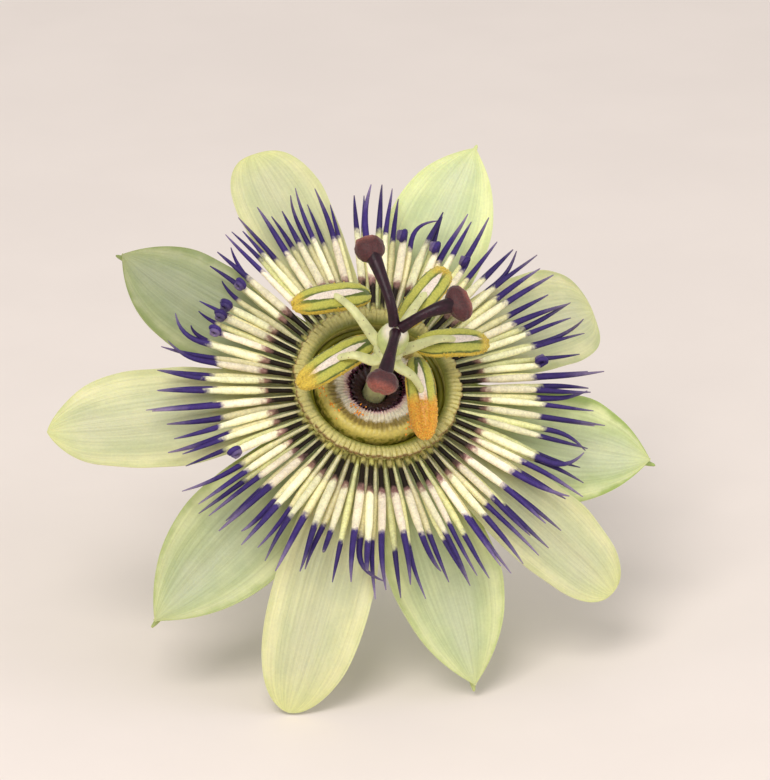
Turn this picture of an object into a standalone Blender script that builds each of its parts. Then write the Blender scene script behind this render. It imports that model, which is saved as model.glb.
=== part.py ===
"""A picked passion flower, lying on its two lowest tepals and the cut end of its stalk.

Every organ is modelled in the flower's own frame. Its origin is on the flower's axis, where the corona
springs from the rim of the floral cup, and its +Z points out of the flower's face, through the styles.
The empty flower_axis tilts that frame back and lifts it to where the flower rests, and all organs hang
from it. The stalk alone is drawn in the world, because its far end lies on the surface.
World frame: metres, +Z up, the flower looks towards -Y and upwards, and the surface it lies on is z = 0.
"""

from math import cos, pi, radians, sin, sqrt, tau
from typing import NamedTuple

import bmesh
import bpy
from mathutils import Matrix, Vector

MM = 0.001
GAP = 0.3 * MM

# How the picked flower lies
FACE_ELEVATION = radians(50)
HEAD_CENTRE = Vector((2.81, -7.7, 40.15)) * MM

# Driving sizes of the flower head
CUP_RADIUS = 10.0 * MM
CUP_RIM = 0.4 * MM
CUP_DEPTH = 9.5 * MM
TEPAL_ROOT = CUP_RADIUS + GAP
CORONA_ROOT = 12.0 * MM
CORONA_COUNT = 60
COLUMN_TOP = 12.3 * MM
COLUMN_RADIUS = 2.0 * MM
OVARY_RADIUS = 2.2 * MM
OVARY_HALF_HEIGHT = 2.9 * MM
ANTHER_WIDTH = 4.4 * MM
ANTHER_THICKNESS = 2.6 * MM
STIGMA_SIZE = Vector((4.2, 4.2, 3.2)) * MM
STALK_RADIUS = 1.5 * MM
BRACT_NODE = -12.6 * MM

# How finely the solids are drawn
BLADE_ROWS = 9
BLADE_COLUMNS = 4
TURN_STEPS = 28


class Blade(NamedTuple):
    """A flat organ that grows outwards from the flower's axis."""

    name: str
    angle: float  # degrees round the flower's axis, from +X
    reach: float  # from the flower's axis to the tip, mm
    drop: float  # how far the tip hangs behind the corona's base, mm
    half_width: float  # mm
    roll: float  # how far the tip is turned about the midrib, degrees
    sweep: float  # how far the middle bows to the left, mm


SEPALS = (
    Blade("sepal_1", 59, 47.0, 2.5, 7.6, 10, 0.4),
    Blade("sepal_2", -19, 42.0, 4.5, 8.8, 6, -1.6),
    Blade("sepal_3", -78.5, 43.4, 13.6, 8.2, 4, 0.0),
    Blade("sepal_4", -143, 45.6, 12.0, 8.4, -6, 0.5),
    Blade("sepal_5", 135.5, 43.8, 7.5, 7.7, -10, 2.1),
)
PETALS = (
    Blade("petal_1", 102, 44.5, 4.0, 6.8, -6, 0.3),
    Blade("petal_2", 22, 42.0, 12.0, 7.8, 10, -0.5),
    Blade("petal_3", -46, 44.4, 10.0, 6.5, 7, -1.0),
    Blade("petal_4", -114, 46.2, 16.6, 7.2, -3, 0.0),
    Blade("petal_5", 177.5, 47.6, 7.0, 8.1, 5, 1.4),
)


class Stamen(NamedTuple):
    """One stamen: where its filament leaves the column, and where the two ends of its anther hang."""

    angle: float  # degrees round the flower's axis
    inner: Vector  # the anther's end nearer to the column, mm
    outer: Vector  # its other end, mm


STAMENS = (
    Stamen(-70, Vector((4.9, 0.8, 8.2)), Vector((3.4, -13.0, 8.6))),
    Stamen(2, Vector((4.4, 1.3, 10.4)), Vector((16.0, 1.4, 9.0))),
    Stamen(55, Vector((3.0, 4.6, 10.4)), Vector((11.7, 13.1, 11.0))),
    Stamen(126, Vector((-0.2, 10.4, 10.6)), Vector((-12.4, 9.3, 11.4))),
    Stamen(205, Vector((-1.1, 3.4, 9.4)), Vector((-13.6, -2.6, 9.2))),
)


class Style(NamedTuple):
    """One style: where its stigma sits, in the flower's frame."""

    angle: float  # degrees round the flower's axis
    reach: float  # from the axis to the stigma's middle, mm
    height: float  # of the stigma's middle, mm


STYLES = (
    Style(99.5, 12.1, 21.0),
    Style(10.5, 9.3, 21.0),
    Style(-115, 10.7, 21.0),
)


def smooth(x):
    """0 below 0, 1 above 1 and an even curve between them."""
    x = min(max(x, 0.0), 1.0)
    return x * x * (3 - 2 * x)


def bezier(points, t):
    """The point at t of the Bezier curve with these control points, and its direction there."""
    while len(points) > 2:
        points = [a.lerp(b, t) for a, b in zip(points, points[1:])]
    return points[0].lerp(points[1], t), (points[1] - points[0]).normalized()


# ---- Objects and materials ------------------------------------------------------------------------


def clear_scene():
    for found in list(bpy.data.objects):
        bpy.data.objects.remove(found)


def plain_material(name, colour, roughness=0.6):
    made = bpy.data.materials.new(name)
    made.use_nodes = True
    shader = made.node_tree.nodes["Principled BSDF"]
    shader.inputs["Base Color"].default_value = (*colour, 1.0)
    shader.inputs["Roughness"].default_value = roughness
    shader.inputs["Metallic"].default_value = 0.0
    return made


def add_object(name, data, material, parent, angle=0.0):
    """Puts mesh or curve data in the scene, turned about the flower's axis."""
    made = bpy.data.objects.new(name, data)
    bpy.context.scene.collection.objects.link(made)
    data.materials.append(material)
    made.parent = parent
    made.rotation_euler.z = angle
    return made


def finish_mesh(name, bm):
    """Writes a bmesh to a new mesh with its faces turned outwards and its curved sides smooth."""
    bmesh.ops.recalc_face_normals(bm, faces=bm.faces)
    mesh = bpy.data.meshes.new(name)
    bm.to_mesh(mesh)
    bm.free()
    mesh.shade_smooth()
    mesh.set_sharp_from_angle(angle=radians(50))
    return mesh


def flower_axis():
    """The empty that carries the flower's frame."""
    axis = bpy.data.objects.new("flower_axis", None)
    bpy.context.scene.collection.objects.link(axis)
    axis.location = HEAD_CENTRE
    axis.rotation_euler.x = pi / 2 - FACE_ELEVATION
    return axis


# ---- Blades: sepals, petals and bracts ------------------------------------------------------------


def petal_outline(u):
    """Share of the full half width at u of the length: a narrow claw and a round end."""
    widest = 0.6
    if u < widest:
        return 0.66 + 0.34 * smooth(u / widest)
    return max(0.07, sqrt(max(0.0, 1 - ((u - widest) / (1 - widest)) ** 2.6)))


def sepal_outline(u):
    """Share of the full half width at u of the length: a broad base and a pointed end."""
    widest = 0.5
    if u < widest:
        return 0.66 + 0.34 * smooth(u / widest)
    return max(0.05, 1 - ((u - widest) / (1 - widest)) ** 2.2)


def bract_outline(u):
    """Share of the full half width at u of the length: an egg shape that is broadest near its base."""
    widest = 0.4
    if u < widest:
        return 0.3 + 0.7 * smooth(u / widest)
    return max(0.06, 1 - ((u - widest) / (1 - widest)) ** 2.0)


def blade_point(midrib, blade, outline, trough, u, v):
    """A point of the blade's middle layer, u along it and v from -1 to 1 across it."""
    middle, along = bezier(midrib, u)
    normal = Vector((-along.y, along.x))
    across = v * outline(u)
    side = across * blade.half_width * MM
    lift = trough * across * across * smooth((u - 0.3) / 0.5)
    turn = radians(blade.roll) * smooth(u)
    side, lift = side * cos(turn) - lift * sin(turn), side * sin(turn) + lift * cos(turn)
    bow = blade.sweep * MM * sin(pi * u)
    return Vector((middle.x + normal.x * lift, side + bow, middle.y + normal.y * lift))


def blade_mesh(blade, midrib, outline, trough, awn=0.0):
    """The blade's middle layer as a grid. An awn carries its tip on as a narrow point."""
    bm = bmesh.new()
    columns = [2 * j / BLADE_COLUMNS - 1 for j in range(BLADE_COLUMNS + 1)]
    rows = []
    for i in range(BLADE_ROWS + 1):
        u = sin(pi / 2 * i / BLADE_ROWS)
        row = [blade_point(midrib, blade, outline, trough, u, v) for v in columns]
        rows.append([bm.verts.new(point) for point in row])
    for near, far in zip(rows, rows[1:]):
        for j in range(BLADE_COLUMNS):
            bm.faces.new((near[j], far[j], far[j + 1], near[j + 1]))
    if awn:
        _, along = bezier(midrib, 1.0)
        onwards = Vector((along.x, 0, along.y)) * awn
        edges = [bm.edges.get((rows[-1][j], rows[-1][j + 1])) for j in range(BLADE_COLUMNS)]
        grown = bmesh.ops.extrude_edge_only(bm, edges=edges)["geom"]
        tips = [item for item in grown if isinstance(item, bmesh.types.BMVert)]
        middle = sum((tip.co for tip in tips), Vector()) / len(tips)
        for tip in tips:
            tip.co = middle.lerp(tip.co, 0.6) + onwards
    mesh = bpy.data.meshes.new(blade.name)
    bm.to_mesh(mesh)
    bm.free()
    mesh.shade_smooth()
    return mesh


def add_blade(blade, mesh, thickness, material, parent):
    made = add_object(blade.name, mesh, material, parent, radians(blade.angle))
    shell = made.modifiers.new("thickness", "SOLIDIFY")
    shell.thickness = thickness
    shell.offset = 0.0
    return made


def make_sepals(axis, material):
    for blade in SEPALS:
        root, tip = TEPAL_ROOT / MM, blade.reach
        midrib = [
            Vector((root, -2.5)),
            Vector((root + 0.30 * (tip - root), -3.3)),
            Vector((root + 0.72 * (tip - root), -2.4 - 0.3 * blade.drop)),
            Vector((tip, -blade.drop)),
        ]
        midrib = [point * MM for point in midrib]
        mesh = blade_mesh(blade, midrib, sepal_outline, trough=1.3 * MM, awn=2.4 * MM)
        add_blade(blade, mesh, 0.8 * MM, material, axis)


def make_petals(axis, material):
    for blade in PETALS:
        root, tip = TEPAL_ROOT / MM, blade.reach
        midrib = [
            Vector((root, -0.9)),
            Vector((root + 0.30 * (tip - root), -0.2)),
            Vector((root + 0.72 * (tip - root), -0.6 - 0.26 * blade.drop)),
            Vector((tip, -blade.drop)),
        ]
        midrib = [point * MM for point in midrib]
        mesh = blade_mesh(blade, midrib, petal_outline, trough=0.8 * MM)
        add_blade(blade, mesh, 0.6 * MM, material, axis)


def make_bracts(axis, material):
    """Three bracts in a whorl on the stalk, cupped round the back of the flower."""
    root = STALK_RADIUS / MM + 0.9
    low = BRACT_NODE / MM
    for i, angle in enumerate((30, 150, 270)):
        blade = Blade(f"bract_{i + 1}", angle, 21.5, 8.6, 7.4, 0, 0.4)
        midrib = [
            Vector((root, low)),
            Vector((8.0, low - 1.8)),
            Vector((15.0, low + 1.2)),
            Vector((blade.reach, -blade.drop)),
        ]
        midrib = [point * MM for point in midrib]
        mesh = blade_mesh(blade, midrib, bract_outline, trough=2.0 * MM)
        add_blade(blade, mesh, 0.6 * MM, material, axis)


# ---- Turned organs: cup, operculum, limen, column and ovary ---------------------------------------


def turned(name, profile, material, parent, closed=False):
    """A profile of (radius, height) points in millimetres, spun round the flower's axis. An open profile
    starts and ends on the axis, and a closed one makes a ring."""
    bm = bmesh.new()
    points = [bm.verts.new(Vector((r, 0, z)) * MM) for r, z in profile]
    pairs = list(zip(points, points[1:]))
    if closed:
        pairs.append((points[-1], points[0]))
    edges = [bm.edges.new(pair) for pair in pairs]
    bmesh.ops.spin(
        bm, geom=points + edges, axis=(0, 0, 1), cent=(0, 0, 0), steps=TURN_STEPS, angle=tau
    )
    bmesh.ops.remove_doubles(bm, verts=bm.verts, dist=0.01 * MM)
    return add_object(name, finish_mesh(name, bm), material, parent)


def make_cup(axis, material):
    """The floral cup, a thick-walled bowl whose rim carries the tepals and the corona."""
    outer, rim, low = CUP_RADIUS / MM, CUP_RIM / MM, -CUP_DEPTH / MM
    wall = 0.7
    profile = [
        (0, low),
        (3.0, low + 0.2),
        (6.4, low + 1.7),
        (8.9, low + 4.4),
        (outer, low + 7.5),
        (outer, rim),
        (outer - wall, rim),
        (outer - wall - 0.1, -1.4),
        (6.5, -4.6),
        (0, -5.0),
    ]
    turned("floral_cup", profile, material, axis)


def make_operculum(axis, material):
    """The membrane that folds inwards over the nectar chamber."""
    profile = [
        (7.9, -1.6),
        (8.8, -1.2),
        (8.95, 0.9),
        (8.2, 1.9),
        (6.8, 1.9),
        (4.9, 1.1),
        (5.0, 0.7),
        (6.8, 1.3),
        (7.7, 0.9),
        (8.0, 0.1),
    ]
    turned("operculum", profile, material, axis, closed=True)


def make_limen(axis, material):
    """The dark collar round the foot of the column, on the floor of the cup."""
    profile = [(2.9, -4.5), (5.2, -4.2), (4.7, -3.0), (3.1, -1.2), (2.6, 0.2), (2.2, 0.2), (2.3, -1.4)]
    turned("limen", profile, material, axis, closed=True)


def make_column(axis, material):
    """The androgynophore, the column that carries stamens and ovary."""
    foot, top, broad = -4.7, COLUMN_TOP / MM, COLUMN_RADIUS / MM
    profile = [
        (0, foot),
        (2.3, foot),
        (1.8, foot + 2.2),
        (1.6, 0.5),
        (1.55, top - 5.0),
        (1.75, top - 2.0),
        (broad, top - 0.7),
        (broad - 0.15, top),
        (0, top),
    ]
    turned("androgynophore", profile, material, axis)


def ovary_centre():
    return COLUMN_TOP + GAP + OVARY_HALF_HEIGHT


def make_ovary(axis, material):
    centre, rows = ovary_centre(), 8
    profile = []
    for i in range(rows + 1):
        turn = pi * i / rows
        radius = OVARY_RADIUS * sin(turn) * (1 - 0.08 * cos(turn + pi))
        profile.append((radius / MM, (centre - OVARY_HALF_HEIGHT * cos(turn)) / MM))
    profile[0] = (0, profile[0][1])
    profile[-1] = (0, profile[-1][1])
    turned("ovary", profile, material, axis)


# ---- Corona ---------------------------------------------------------------------------------------


def ray_stations(root_height, tip_radius, tip_height, flat):
    """(radius, height, half width, half thickness) of a filament where its sides bend."""
    run = tip_radius - CORONA_ROOT
    return [
        (CORONA_ROOT + 0.06 * run, root_height, 0.40 * MM, 0.38 * MM),
        (CORONA_ROOT + 0.55 * run, root_height + 0.6 * (tip_height - root_height), 0.34 * MM, flat),
        (tip_radius, tip_height, 0.14 * MM, 0.14 * MM),
    ]


def make_corona_series(name, low, high, phase, tip_radius, tip_height, axis, material):
    """One series of the corona: a thin ring with a filament drawn out of each of its outer faces.
    Filaments alternate between a long and a slightly shorter one."""
    bm = bmesh.new()
    inner = TEPAL_ROOT
    corners = ((inner, low), (CORONA_ROOT, low), (CORONA_ROOT, high), (inner, high))
    rings = []
    for i in range(CORONA_COUNT):
        turn = tau * (i - 0.5 + phase) / CORONA_COUNT
        rings.append([bm.verts.new((r * cos(turn), r * sin(turn), z)) for r, z in corners])
    roots = []
    for i, near in enumerate(rings):
        far = rings[(i + 1) % CORONA_COUNT]
        for k in range(4):
            nxt = (k + 1) % 4
            face = bm.faces.new((near[k], far[k], far[nxt], near[nxt]))
            if k == 1:
                roots.append((i, face))
    bmesh.ops.recalc_face_normals(bm, faces=bm.faces)
    for i, root in roots:
        turn = tau * (i + phase) / CORONA_COUNT
        length = 1.0 if i % 2 else 0.93
        outwards, across = Vector((cos(turn), sin(turn), 0)), Vector((-sin(turn), cos(turn), 0))
        tip = CORONA_ROOT + (tip_radius - CORONA_ROOT) * length
        face = root
        for radius, height, half_width, half_thickness in ray_stations(
            (low + high) / 2, tip, tip_height, 0.32 * MM
        ):
            face = bmesh.ops.extrude_discrete_faces(bm, faces=[face])["faces"][0]
            middle = face.calc_center_median()
            for vert in face.verts:
                sideways = half_width if (vert.co - middle).dot(across) > 0 else -half_width
                upwards = half_thickness if vert.co.z > middle.z else -half_thickness
                vert.co = outwards * radius + across * sideways + Vector((0, 0, height + upwards))
    add_object(name, finish_mesh(name, bm), material, axis)


def make_corona(axis, outer_material, inner_material, pali_material):
    make_corona_series(
        "corona_outer", -0.2 * MM, 0.45 * MM, 0.0, 34.0 * MM, 0.9 * MM, axis, outer_material
    )
    make_corona_series(
        "corona_inner", 0.75 * MM, 1.4 * MM, 0.5, 33.0 * MM, 2.6 * MM, axis, inner_material
    )
    root = CORONA_ROOT / MM
    collar = [(root - 1.4, 1.7), (root, 1.7), (root + 0.5, 2.0), (root + 0.3, 2.5), (root - 1.0, 2.4)]
    turned("corona_pali", collar, pali_material, axis, closed=True)


# ---- Stamens, styles and stigmas ------------------------------------------------------------------


def tube(name, points, radii, material, parent, sides=1, resolution=4):
    """A round rod along a smooth curve through these points, with its ends filled."""
    curve = bpy.data.curves.new(name, "CURVE")
    curve.dimensions = "3D"
    curve.bevel_depth = 1.0
    curve.bevel_resolution = sides
    curve.use_fill_caps = True
    curve.resolution_u = resolution
    spline = curve.splines.new("BEZIER")
    spline.bezier_points.add(len(points) - 1)
    for knot, point, radius in zip(spline.bezier_points, points, radii):
        knot.co = point
        knot.radius = radius
        knot.handle_left_type = "AUTO"
        knot.handle_right_type = "AUTO"
    return add_object(name, curve, material, parent)


def polar(angle, radius, height):
    return Vector((radius * cos(angle), radius * sin(angle), height))


def anther_pose(stamen):
    """The anther's place and turn in the flower's frame: its X runs outwards along it, its Z is its back."""
    along = (stamen.outer - stamen.inner).normalized()
    across = Vector((0, 0, 1)).cross(along).normalized()
    turn = Matrix((along, across, along.cross(across))).transposed().to_4x4()
    return Matrix.Translation(stamen.inner.lerp(stamen.outer, 0.5) * MM) @ turn


def make_stamens(axis, filament_material, anther_material):
    """Each filament leaves the top of the column, arches out and ends just above its anther's back."""
    for i, stamen in enumerate(STAMENS):
        pose = anther_pose(stamen)
        end = pose @ Vector((0, 0, ANTHER_THICKNESS / 2 + 0.75 * MM))
        start = polar(radians(stamen.angle), COLUMN_RADIUS + 2 * GAP, COLUMN_TOP - 0.8 * MM)
        crest = start.lerp(end, 0.5) + Vector((0, 0, 1.0 * MM))
        radii = (0.75 * MM, 0.6 * MM, 0.4 * MM)
        tube(f"stamen_filament_{i + 1}", (start, crest, end), radii, filament_material, axis)

        length = (stamen.outer - stamen.inner).length * MM
        bm = bmesh.new()
        bmesh.ops.create_icosphere(bm, subdivisions=2, radius=0.5)
        bmesh.ops.scale(bm, vec=(length, ANTHER_WIDTH, ANTHER_THICKNESS), verts=bm.verts)
        name = f"anther_{i + 1}"
        anther = add_object(name, finish_mesh(name, bm), anther_material, axis)
        anther.matrix_local = pose


def make_styles(axis, style_material, stigma_material):
    """Three clubbed styles spread from the top of the ovary, each with a knobbed stigma at its end."""
    top = ovary_centre() + OVARY_HALF_HEIGHT
    for i, style in enumerate(STYLES):
        angle = radians(style.angle)
        knob = polar(angle, style.reach * MM, style.height * MM)
        start = polar(angle, 1.1 * MM, top + 0.5 * MM)
        end = polar(angle, (style.reach * MM) - STIGMA_SIZE.z / 2 - 0.6 * MM, knob.z - 0.1 * MM)
        bend = polar(angle, 3.6 * MM, top + 2.0 * MM)
        radii = (0.55 * MM, 0.7 * MM, 0.95 * MM)
        tube(f"style_{i + 1}", (start, bend, end), radii, style_material, axis)

        bm = bmesh.new()
        bmesh.ops.create_icosphere(bm, subdivisions=2, radius=0.5)
        bmesh.ops.scale(bm, vec=STIGMA_SIZE, verts=bm.verts)
        name = f"stigma_{i + 1}"
        stigma = add_object(name, finish_mesh(name, bm), stigma_material, axis)
        outwards = (end - bend).normalized()
        stigma.matrix_local = Matrix.Translation(knob) @ outwards.to_track_quat("Z", "Y").to_matrix().to_4x4()


# ---- Stalk ----------------------------------------------------------------------------------------


def make_stalk(axis, material):
    """The flower's stalk, from just below the cup, through the bracts' node, to its cut end on the surface."""
    bpy.context.view_layer.update()
    frame = axis.matrix_world
    away = -(frame.to_3x3() @ Vector((0, 0, 1)))
    top = frame @ Vector((0, 0, -CUP_DEPTH - GAP))
    node = frame @ Vector((0, 0, BRACT_NODE))
    middle = node + away * 17.0 * MM + Vector((0.6, 1.0, 0.0)) * MM
    end = Vector((HEAD_CENTRE.x + 4.3 * MM, HEAD_CENTRE.y + 41.5 * MM, 1.2 * MM))
    radii = [r * MM for r in (1.55, 1.9, 1.4, 1.5)]
    tube("stalk", (top, node, middle, end), radii, material, None, sides=2, resolution=6)


def main():
    clear_scene()
    axis = flower_axis()
    make_cup(axis, plain_material("cup_green", (0.30, 0.42, 0.12)))
    make_sepals(axis, plain_material("sepal_green_white", (0.62, 0.68, 0.40)))
    make_petals(axis, plain_material("petal_cream", (0.76, 0.78, 0.55)))
    make_corona(
        axis,
        plain_material("ray_cream", (0.80, 0.78, 0.58)),
        plain_material("ray_violet", (0.20, 0.14, 0.38)),
        plain_material("pali_purple", (0.06, 0.02, 0.06)),
    )
    make_operculum(axis, plain_material("operculum_green", (0.62, 0.60, 0.22)))
    make_limen(axis, plain_material("limen_purple", (0.07, 0.02, 0.04)))
    make_column(axis, plain_material("column_green", (0.52, 0.60, 0.24)))
    make_ovary(axis, plain_material("ovary_green", (0.58, 0.62, 0.28)))
    make_stamens(
        axis,
        plain_material("filament_green", (0.50, 0.58, 0.18)),
        plain_material("anther_olive", (0.55, 0.52, 0.12)),
    )
    make_styles(
        axis,
        plain_material("style_purple", (0.05, 0.01, 0.03), 0.4),
        plain_material("stigma_brown", (0.20, 0.06, 0.05)),
    )
    make_bracts(axis, plain_material("bract_green", (0.32, 0.45, 0.14)))
    make_stalk(axis, plain_material("stalk_green", (0.26, 0.38, 0.10)))


main()
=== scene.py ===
"""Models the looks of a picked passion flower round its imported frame.

Every organ is modelled in the flower's own frame, whose +Z points out of the flower's face, and is then
settled into the world. Lengths written with MM are in millimetres of the real flower.
"""

import random
from math import cos, degrees, exp, hypot, pi, radians, sin, sqrt, tau
from typing import NamedTuple

import bmesh
import bpy
from bpy.props import FloatProperty, FloatVectorProperty, IntProperty, PointerProperty
from mathutils import Matrix, Vector, noise


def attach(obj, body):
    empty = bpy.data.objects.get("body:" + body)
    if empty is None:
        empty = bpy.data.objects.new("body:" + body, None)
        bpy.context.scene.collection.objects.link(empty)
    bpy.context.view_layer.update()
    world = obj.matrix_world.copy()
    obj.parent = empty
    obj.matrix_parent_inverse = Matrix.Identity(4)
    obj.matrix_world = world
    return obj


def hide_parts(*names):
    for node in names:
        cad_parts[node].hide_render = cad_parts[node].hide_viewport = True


bl_info = {
    "name": "Passion Flower",
    "version": (1, 0, 0),
    "blender": (4, 5, 0),
    "location": "View3D > Sidebar > Flower",
    "description": "Models a picked passion flower organ by organ",
    "category": "Mesh",
}

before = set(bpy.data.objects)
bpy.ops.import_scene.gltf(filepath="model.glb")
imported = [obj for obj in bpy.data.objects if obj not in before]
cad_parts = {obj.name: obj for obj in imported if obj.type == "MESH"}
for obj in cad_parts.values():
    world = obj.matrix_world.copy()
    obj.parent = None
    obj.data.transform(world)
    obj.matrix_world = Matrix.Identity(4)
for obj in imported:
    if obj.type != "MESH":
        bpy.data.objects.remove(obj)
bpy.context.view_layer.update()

MM = 0.001
FACE_TILT = radians(40)  # from facing up to facing the front
HEAD_CENTRE = Vector((2.81, -7.7, 40.15)) * MM  # the middle of the corona's base
FLOWER_FRAME = Matrix.Translation(HEAD_CENTRE) @ Matrix.Rotation(FACE_TILT, 4, "X")
MERGE_DISTANCE = 0.005 * MM
TIP_MERGE = 0.04 * MM  # for the points that crowd together at a blade's tip
SHARP_EDGE = radians(50)  # edges that bend more than this stay sharp

# Sizes of the flower in mm, with heights above the corona's base
CUP_RADIUS = 10.0
CUP_DEPTH = 9.5
RING_RADIUS = 11.3  # where the filaments leave their ring
CORONA_REACH = 36.0  # what the bands of the filaments are shares of
COLUMN_TOP = 12.3
OVARY_RADIUS = 2.2
OVARY_HALF_HEIGHT = 2.9
BRACT_NODE = -12.6  # where the bracts leave the stalk


class Blade(NamedTuple):
    """A flat organ that grows outwards from the flower's axis."""

    node: str
    angle: float  # degrees round the flower's axis, from +X
    reach: float  # from the flower's axis to the tip, mm
    drop: float  # how far the tip hangs behind the corona's base, mm
    half_width: float  # mm
    roll: float  # how far the tip is turned about the midrib, degrees
    sweep: float  # how far the middle bows to the left, mm
    # painted light and shade: tone paints a whole blade lighter where light falls on it, darker in shade
    tone: float = 1.0  # how light the blade is, against the others
    rim: float = 0.0  # how green its margin is
    taper: float = 1.0  # how pointed its end is: 0.5 is round


# The tone column paints light and shade: sepal_1 lighter where the light falls on it, sepal_5 darker in the
# leaf's shade.
SEPALS = (
    Blade("sepal_1", 59, 47.0, 2.5, 7.8, 10, 0.4, 1.35, 0.25, 1.0),
    Blade("sepal_2", -19, 42.0, 4.5, 9.0, 6, -1.6, 1.15, 0.95, 1.0),
    Blade("sepal_3", -78.5, 43.4, 13.5, 8.3, 4, 0.0, 1.11, 0.45, 1.0),
    Blade("sepal_4", -143, 45.6, 12.0, 8.5, -6, 0.5, 0.97, 0.6, 1.0),
    Blade("sepal_5", 135.5, 43.8, 7.5, 7.8, -10, 2.1, 0.70, 0.75, 1.0),
)
PETALS = (
    Blade("petal_1", 102, 44.5, 4.0, 6.8, -6, 0.3, 1.0, 0.25, 0.5),
    Blade("petal_2", 22, 42.0, 12.0, 7.9, 10, -0.5, 0.96, 0.45, 0.55),
    Blade("petal_3", -46, 44.4, 10.0, 6.6, 7, -1.0, 0.97, 0.25, 0.5),
    Blade("petal_4", -114, 46.2, 16.4, 7.2, -3, 0.0, 1.0, 0.25, 0.55),
    Blade("petal_5", 177.5, 47.6, 7.0, 8.2, 5, 1.4, 0.98, 0.3, 0.78),
)


class Stamen(NamedTuple):
    """One stamen, and how much of its pollen it shows."""

    angle: float  # degrees round the flower's axis, where the filament leaves the column
    inner: Vector  # the anther's end nearer to the column, mm
    outer: Vector  # its other end, mm
    dust: float  # share of the anther's outer end that is covered with pollen
    grains: int


STAMENS = (
    Stamen(-70, Vector((4.9, 0.8, 8.2)), Vector((3.4, -13.0, 8.6)), 0.40, 420),
    Stamen(2, Vector((4.4, 1.3, 10.4)), Vector((16.0, 1.4, 9.0)), 0.10, 150),
    Stamen(55, Vector((3.0, 4.6, 10.4)), Vector((11.7, 13.1, 11.0)), 0.12, 150),
    Stamen(126, Vector((-0.2, 10.4, 10.6)), Vector((-12.4, 9.3, 11.4)), 0.08, 130),
    Stamen(205, Vector((-1.1, 3.4, 9.4)), Vector((-13.6, -2.6, 9.2)), 0.16, 170),
)
RIPE = 0.3  # an anther with more dust than this has shed its pollen over its back
POLLEN_HEAPS = (  # degrees round the axis, distance from it in mm, and grains
    (-135, 5.4, 26), (-160, 7.9, 18), (-60, 8.2, 30), (175, 8.4, 16), (-20, 8.2, 12), (60, 7.6, 10),
)


class Style(NamedTuple):
    """One style: where its stigma sits."""

    angle: float  # degrees round the flower's axis
    reach: float  # from the axis to the stigma's middle, mm
    height: float  # of the stigma's middle, mm
    broad: float  # the stigma's longer side, mm
    deep: float  # from the stigma's face to its back, mm


STYLES = (
    Style(99.5, 12.1, 21.0, 4.4, 4.3),
    Style(10.5, 9.3, 21.0, 5.6, 3.6),
    Style(-115, 10.7, 21.0, 4.6, 3.6),
)

ROLLED_RAYS = (5, 46, 59, 67, 134, 144, 156, 200)  # degrees, where a filament's end is rolled up


# ---- Sizes and colours ----------------------------------------------------------------------------


def linear(red, green, blue):
    """A display colour of 0 to 255 as the linear colour that Blender's sockets take."""
    shares = [level / 255 for level in (red, green, blue)]
    return tuple(c / 12.92 if c < 0.04045 else ((c + 0.055) / 1.055) ** 2.4 for c in shares)


def size(label, text, default):
    return FloatProperty(name=label, description=text, default=default, min=0.0, unit="LENGTH", precision=5)


def count(label, text, default):
    return IntProperty(name=label, description=text, default=default, min=12)


def colour(label, text, *levels):
    return FloatVectorProperty(
        name=label, description=text, default=linear(*levels), subtype="COLOR", size=3, min=0, max=1
    )


def settings(context):
    """The scene's sizes and colours of the flower."""
    return context.scene.flower_sizes, context.scene.flower_colours


class FlowerSizes(bpy.types.PropertyGroup):
    """Sizes that shape the organs inside the frame."""

    petal_thickness: size("Petal thickness", "Thickness at a petal's middle", 0.6 * MM)
    sepal_thickness: size("Sepal thickness", "Thickness at a sepal's middle", 0.8 * MM)
    bract_thickness: size("Bract thickness", "Thickness at a bract's middle", 0.5 * MM)
    margin_wave: size("Margin wave", "How far the margins of the tepals rise and fall", 0.45 * MM)
    vein_depth: size("Vein depth", "Depth of the furrows along the tepals", 0.07 * MM)
    awn_length: size("Awn length", "Length of the horn beyond a sepal's tip", 1.1 * MM)
    ray_radius: size("Ray radius", "Radius of a corona filament where it is stoutest", 0.58 * MM)
    pleat_depth: size("Pleat depth", "Depth of the operculum's pleats", 0.14 * MM)
    anther_width: size("Anther width", "Width across both halves of an anther", 4.6 * MM)
    anther_thickness: size("Anther thickness", "Thickness of an anther", 2.6 * MM)
    grain_radius: size("Pollen radius", "Radius of a clump of pollen", 0.15 * MM)
    stigma_narrow: size("Stigma breadth", "Shorter side of a stigma's face", 3.7 * MM)
    stalk_rib: size("Stalk rib", "Height of the ribs along the stalk", 0.08 * MM)
    view_width: size("View width", "Width that the camera takes in at the flower", 113.5 * MM)
    view_distance: size("View distance", "From the camera to the flower", 0.9)
    rays: count("Rays", "Filaments in each long series of the corona", 60)
    pali: count("Pali", "Short knobbed filaments inside the corona", 96)


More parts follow.
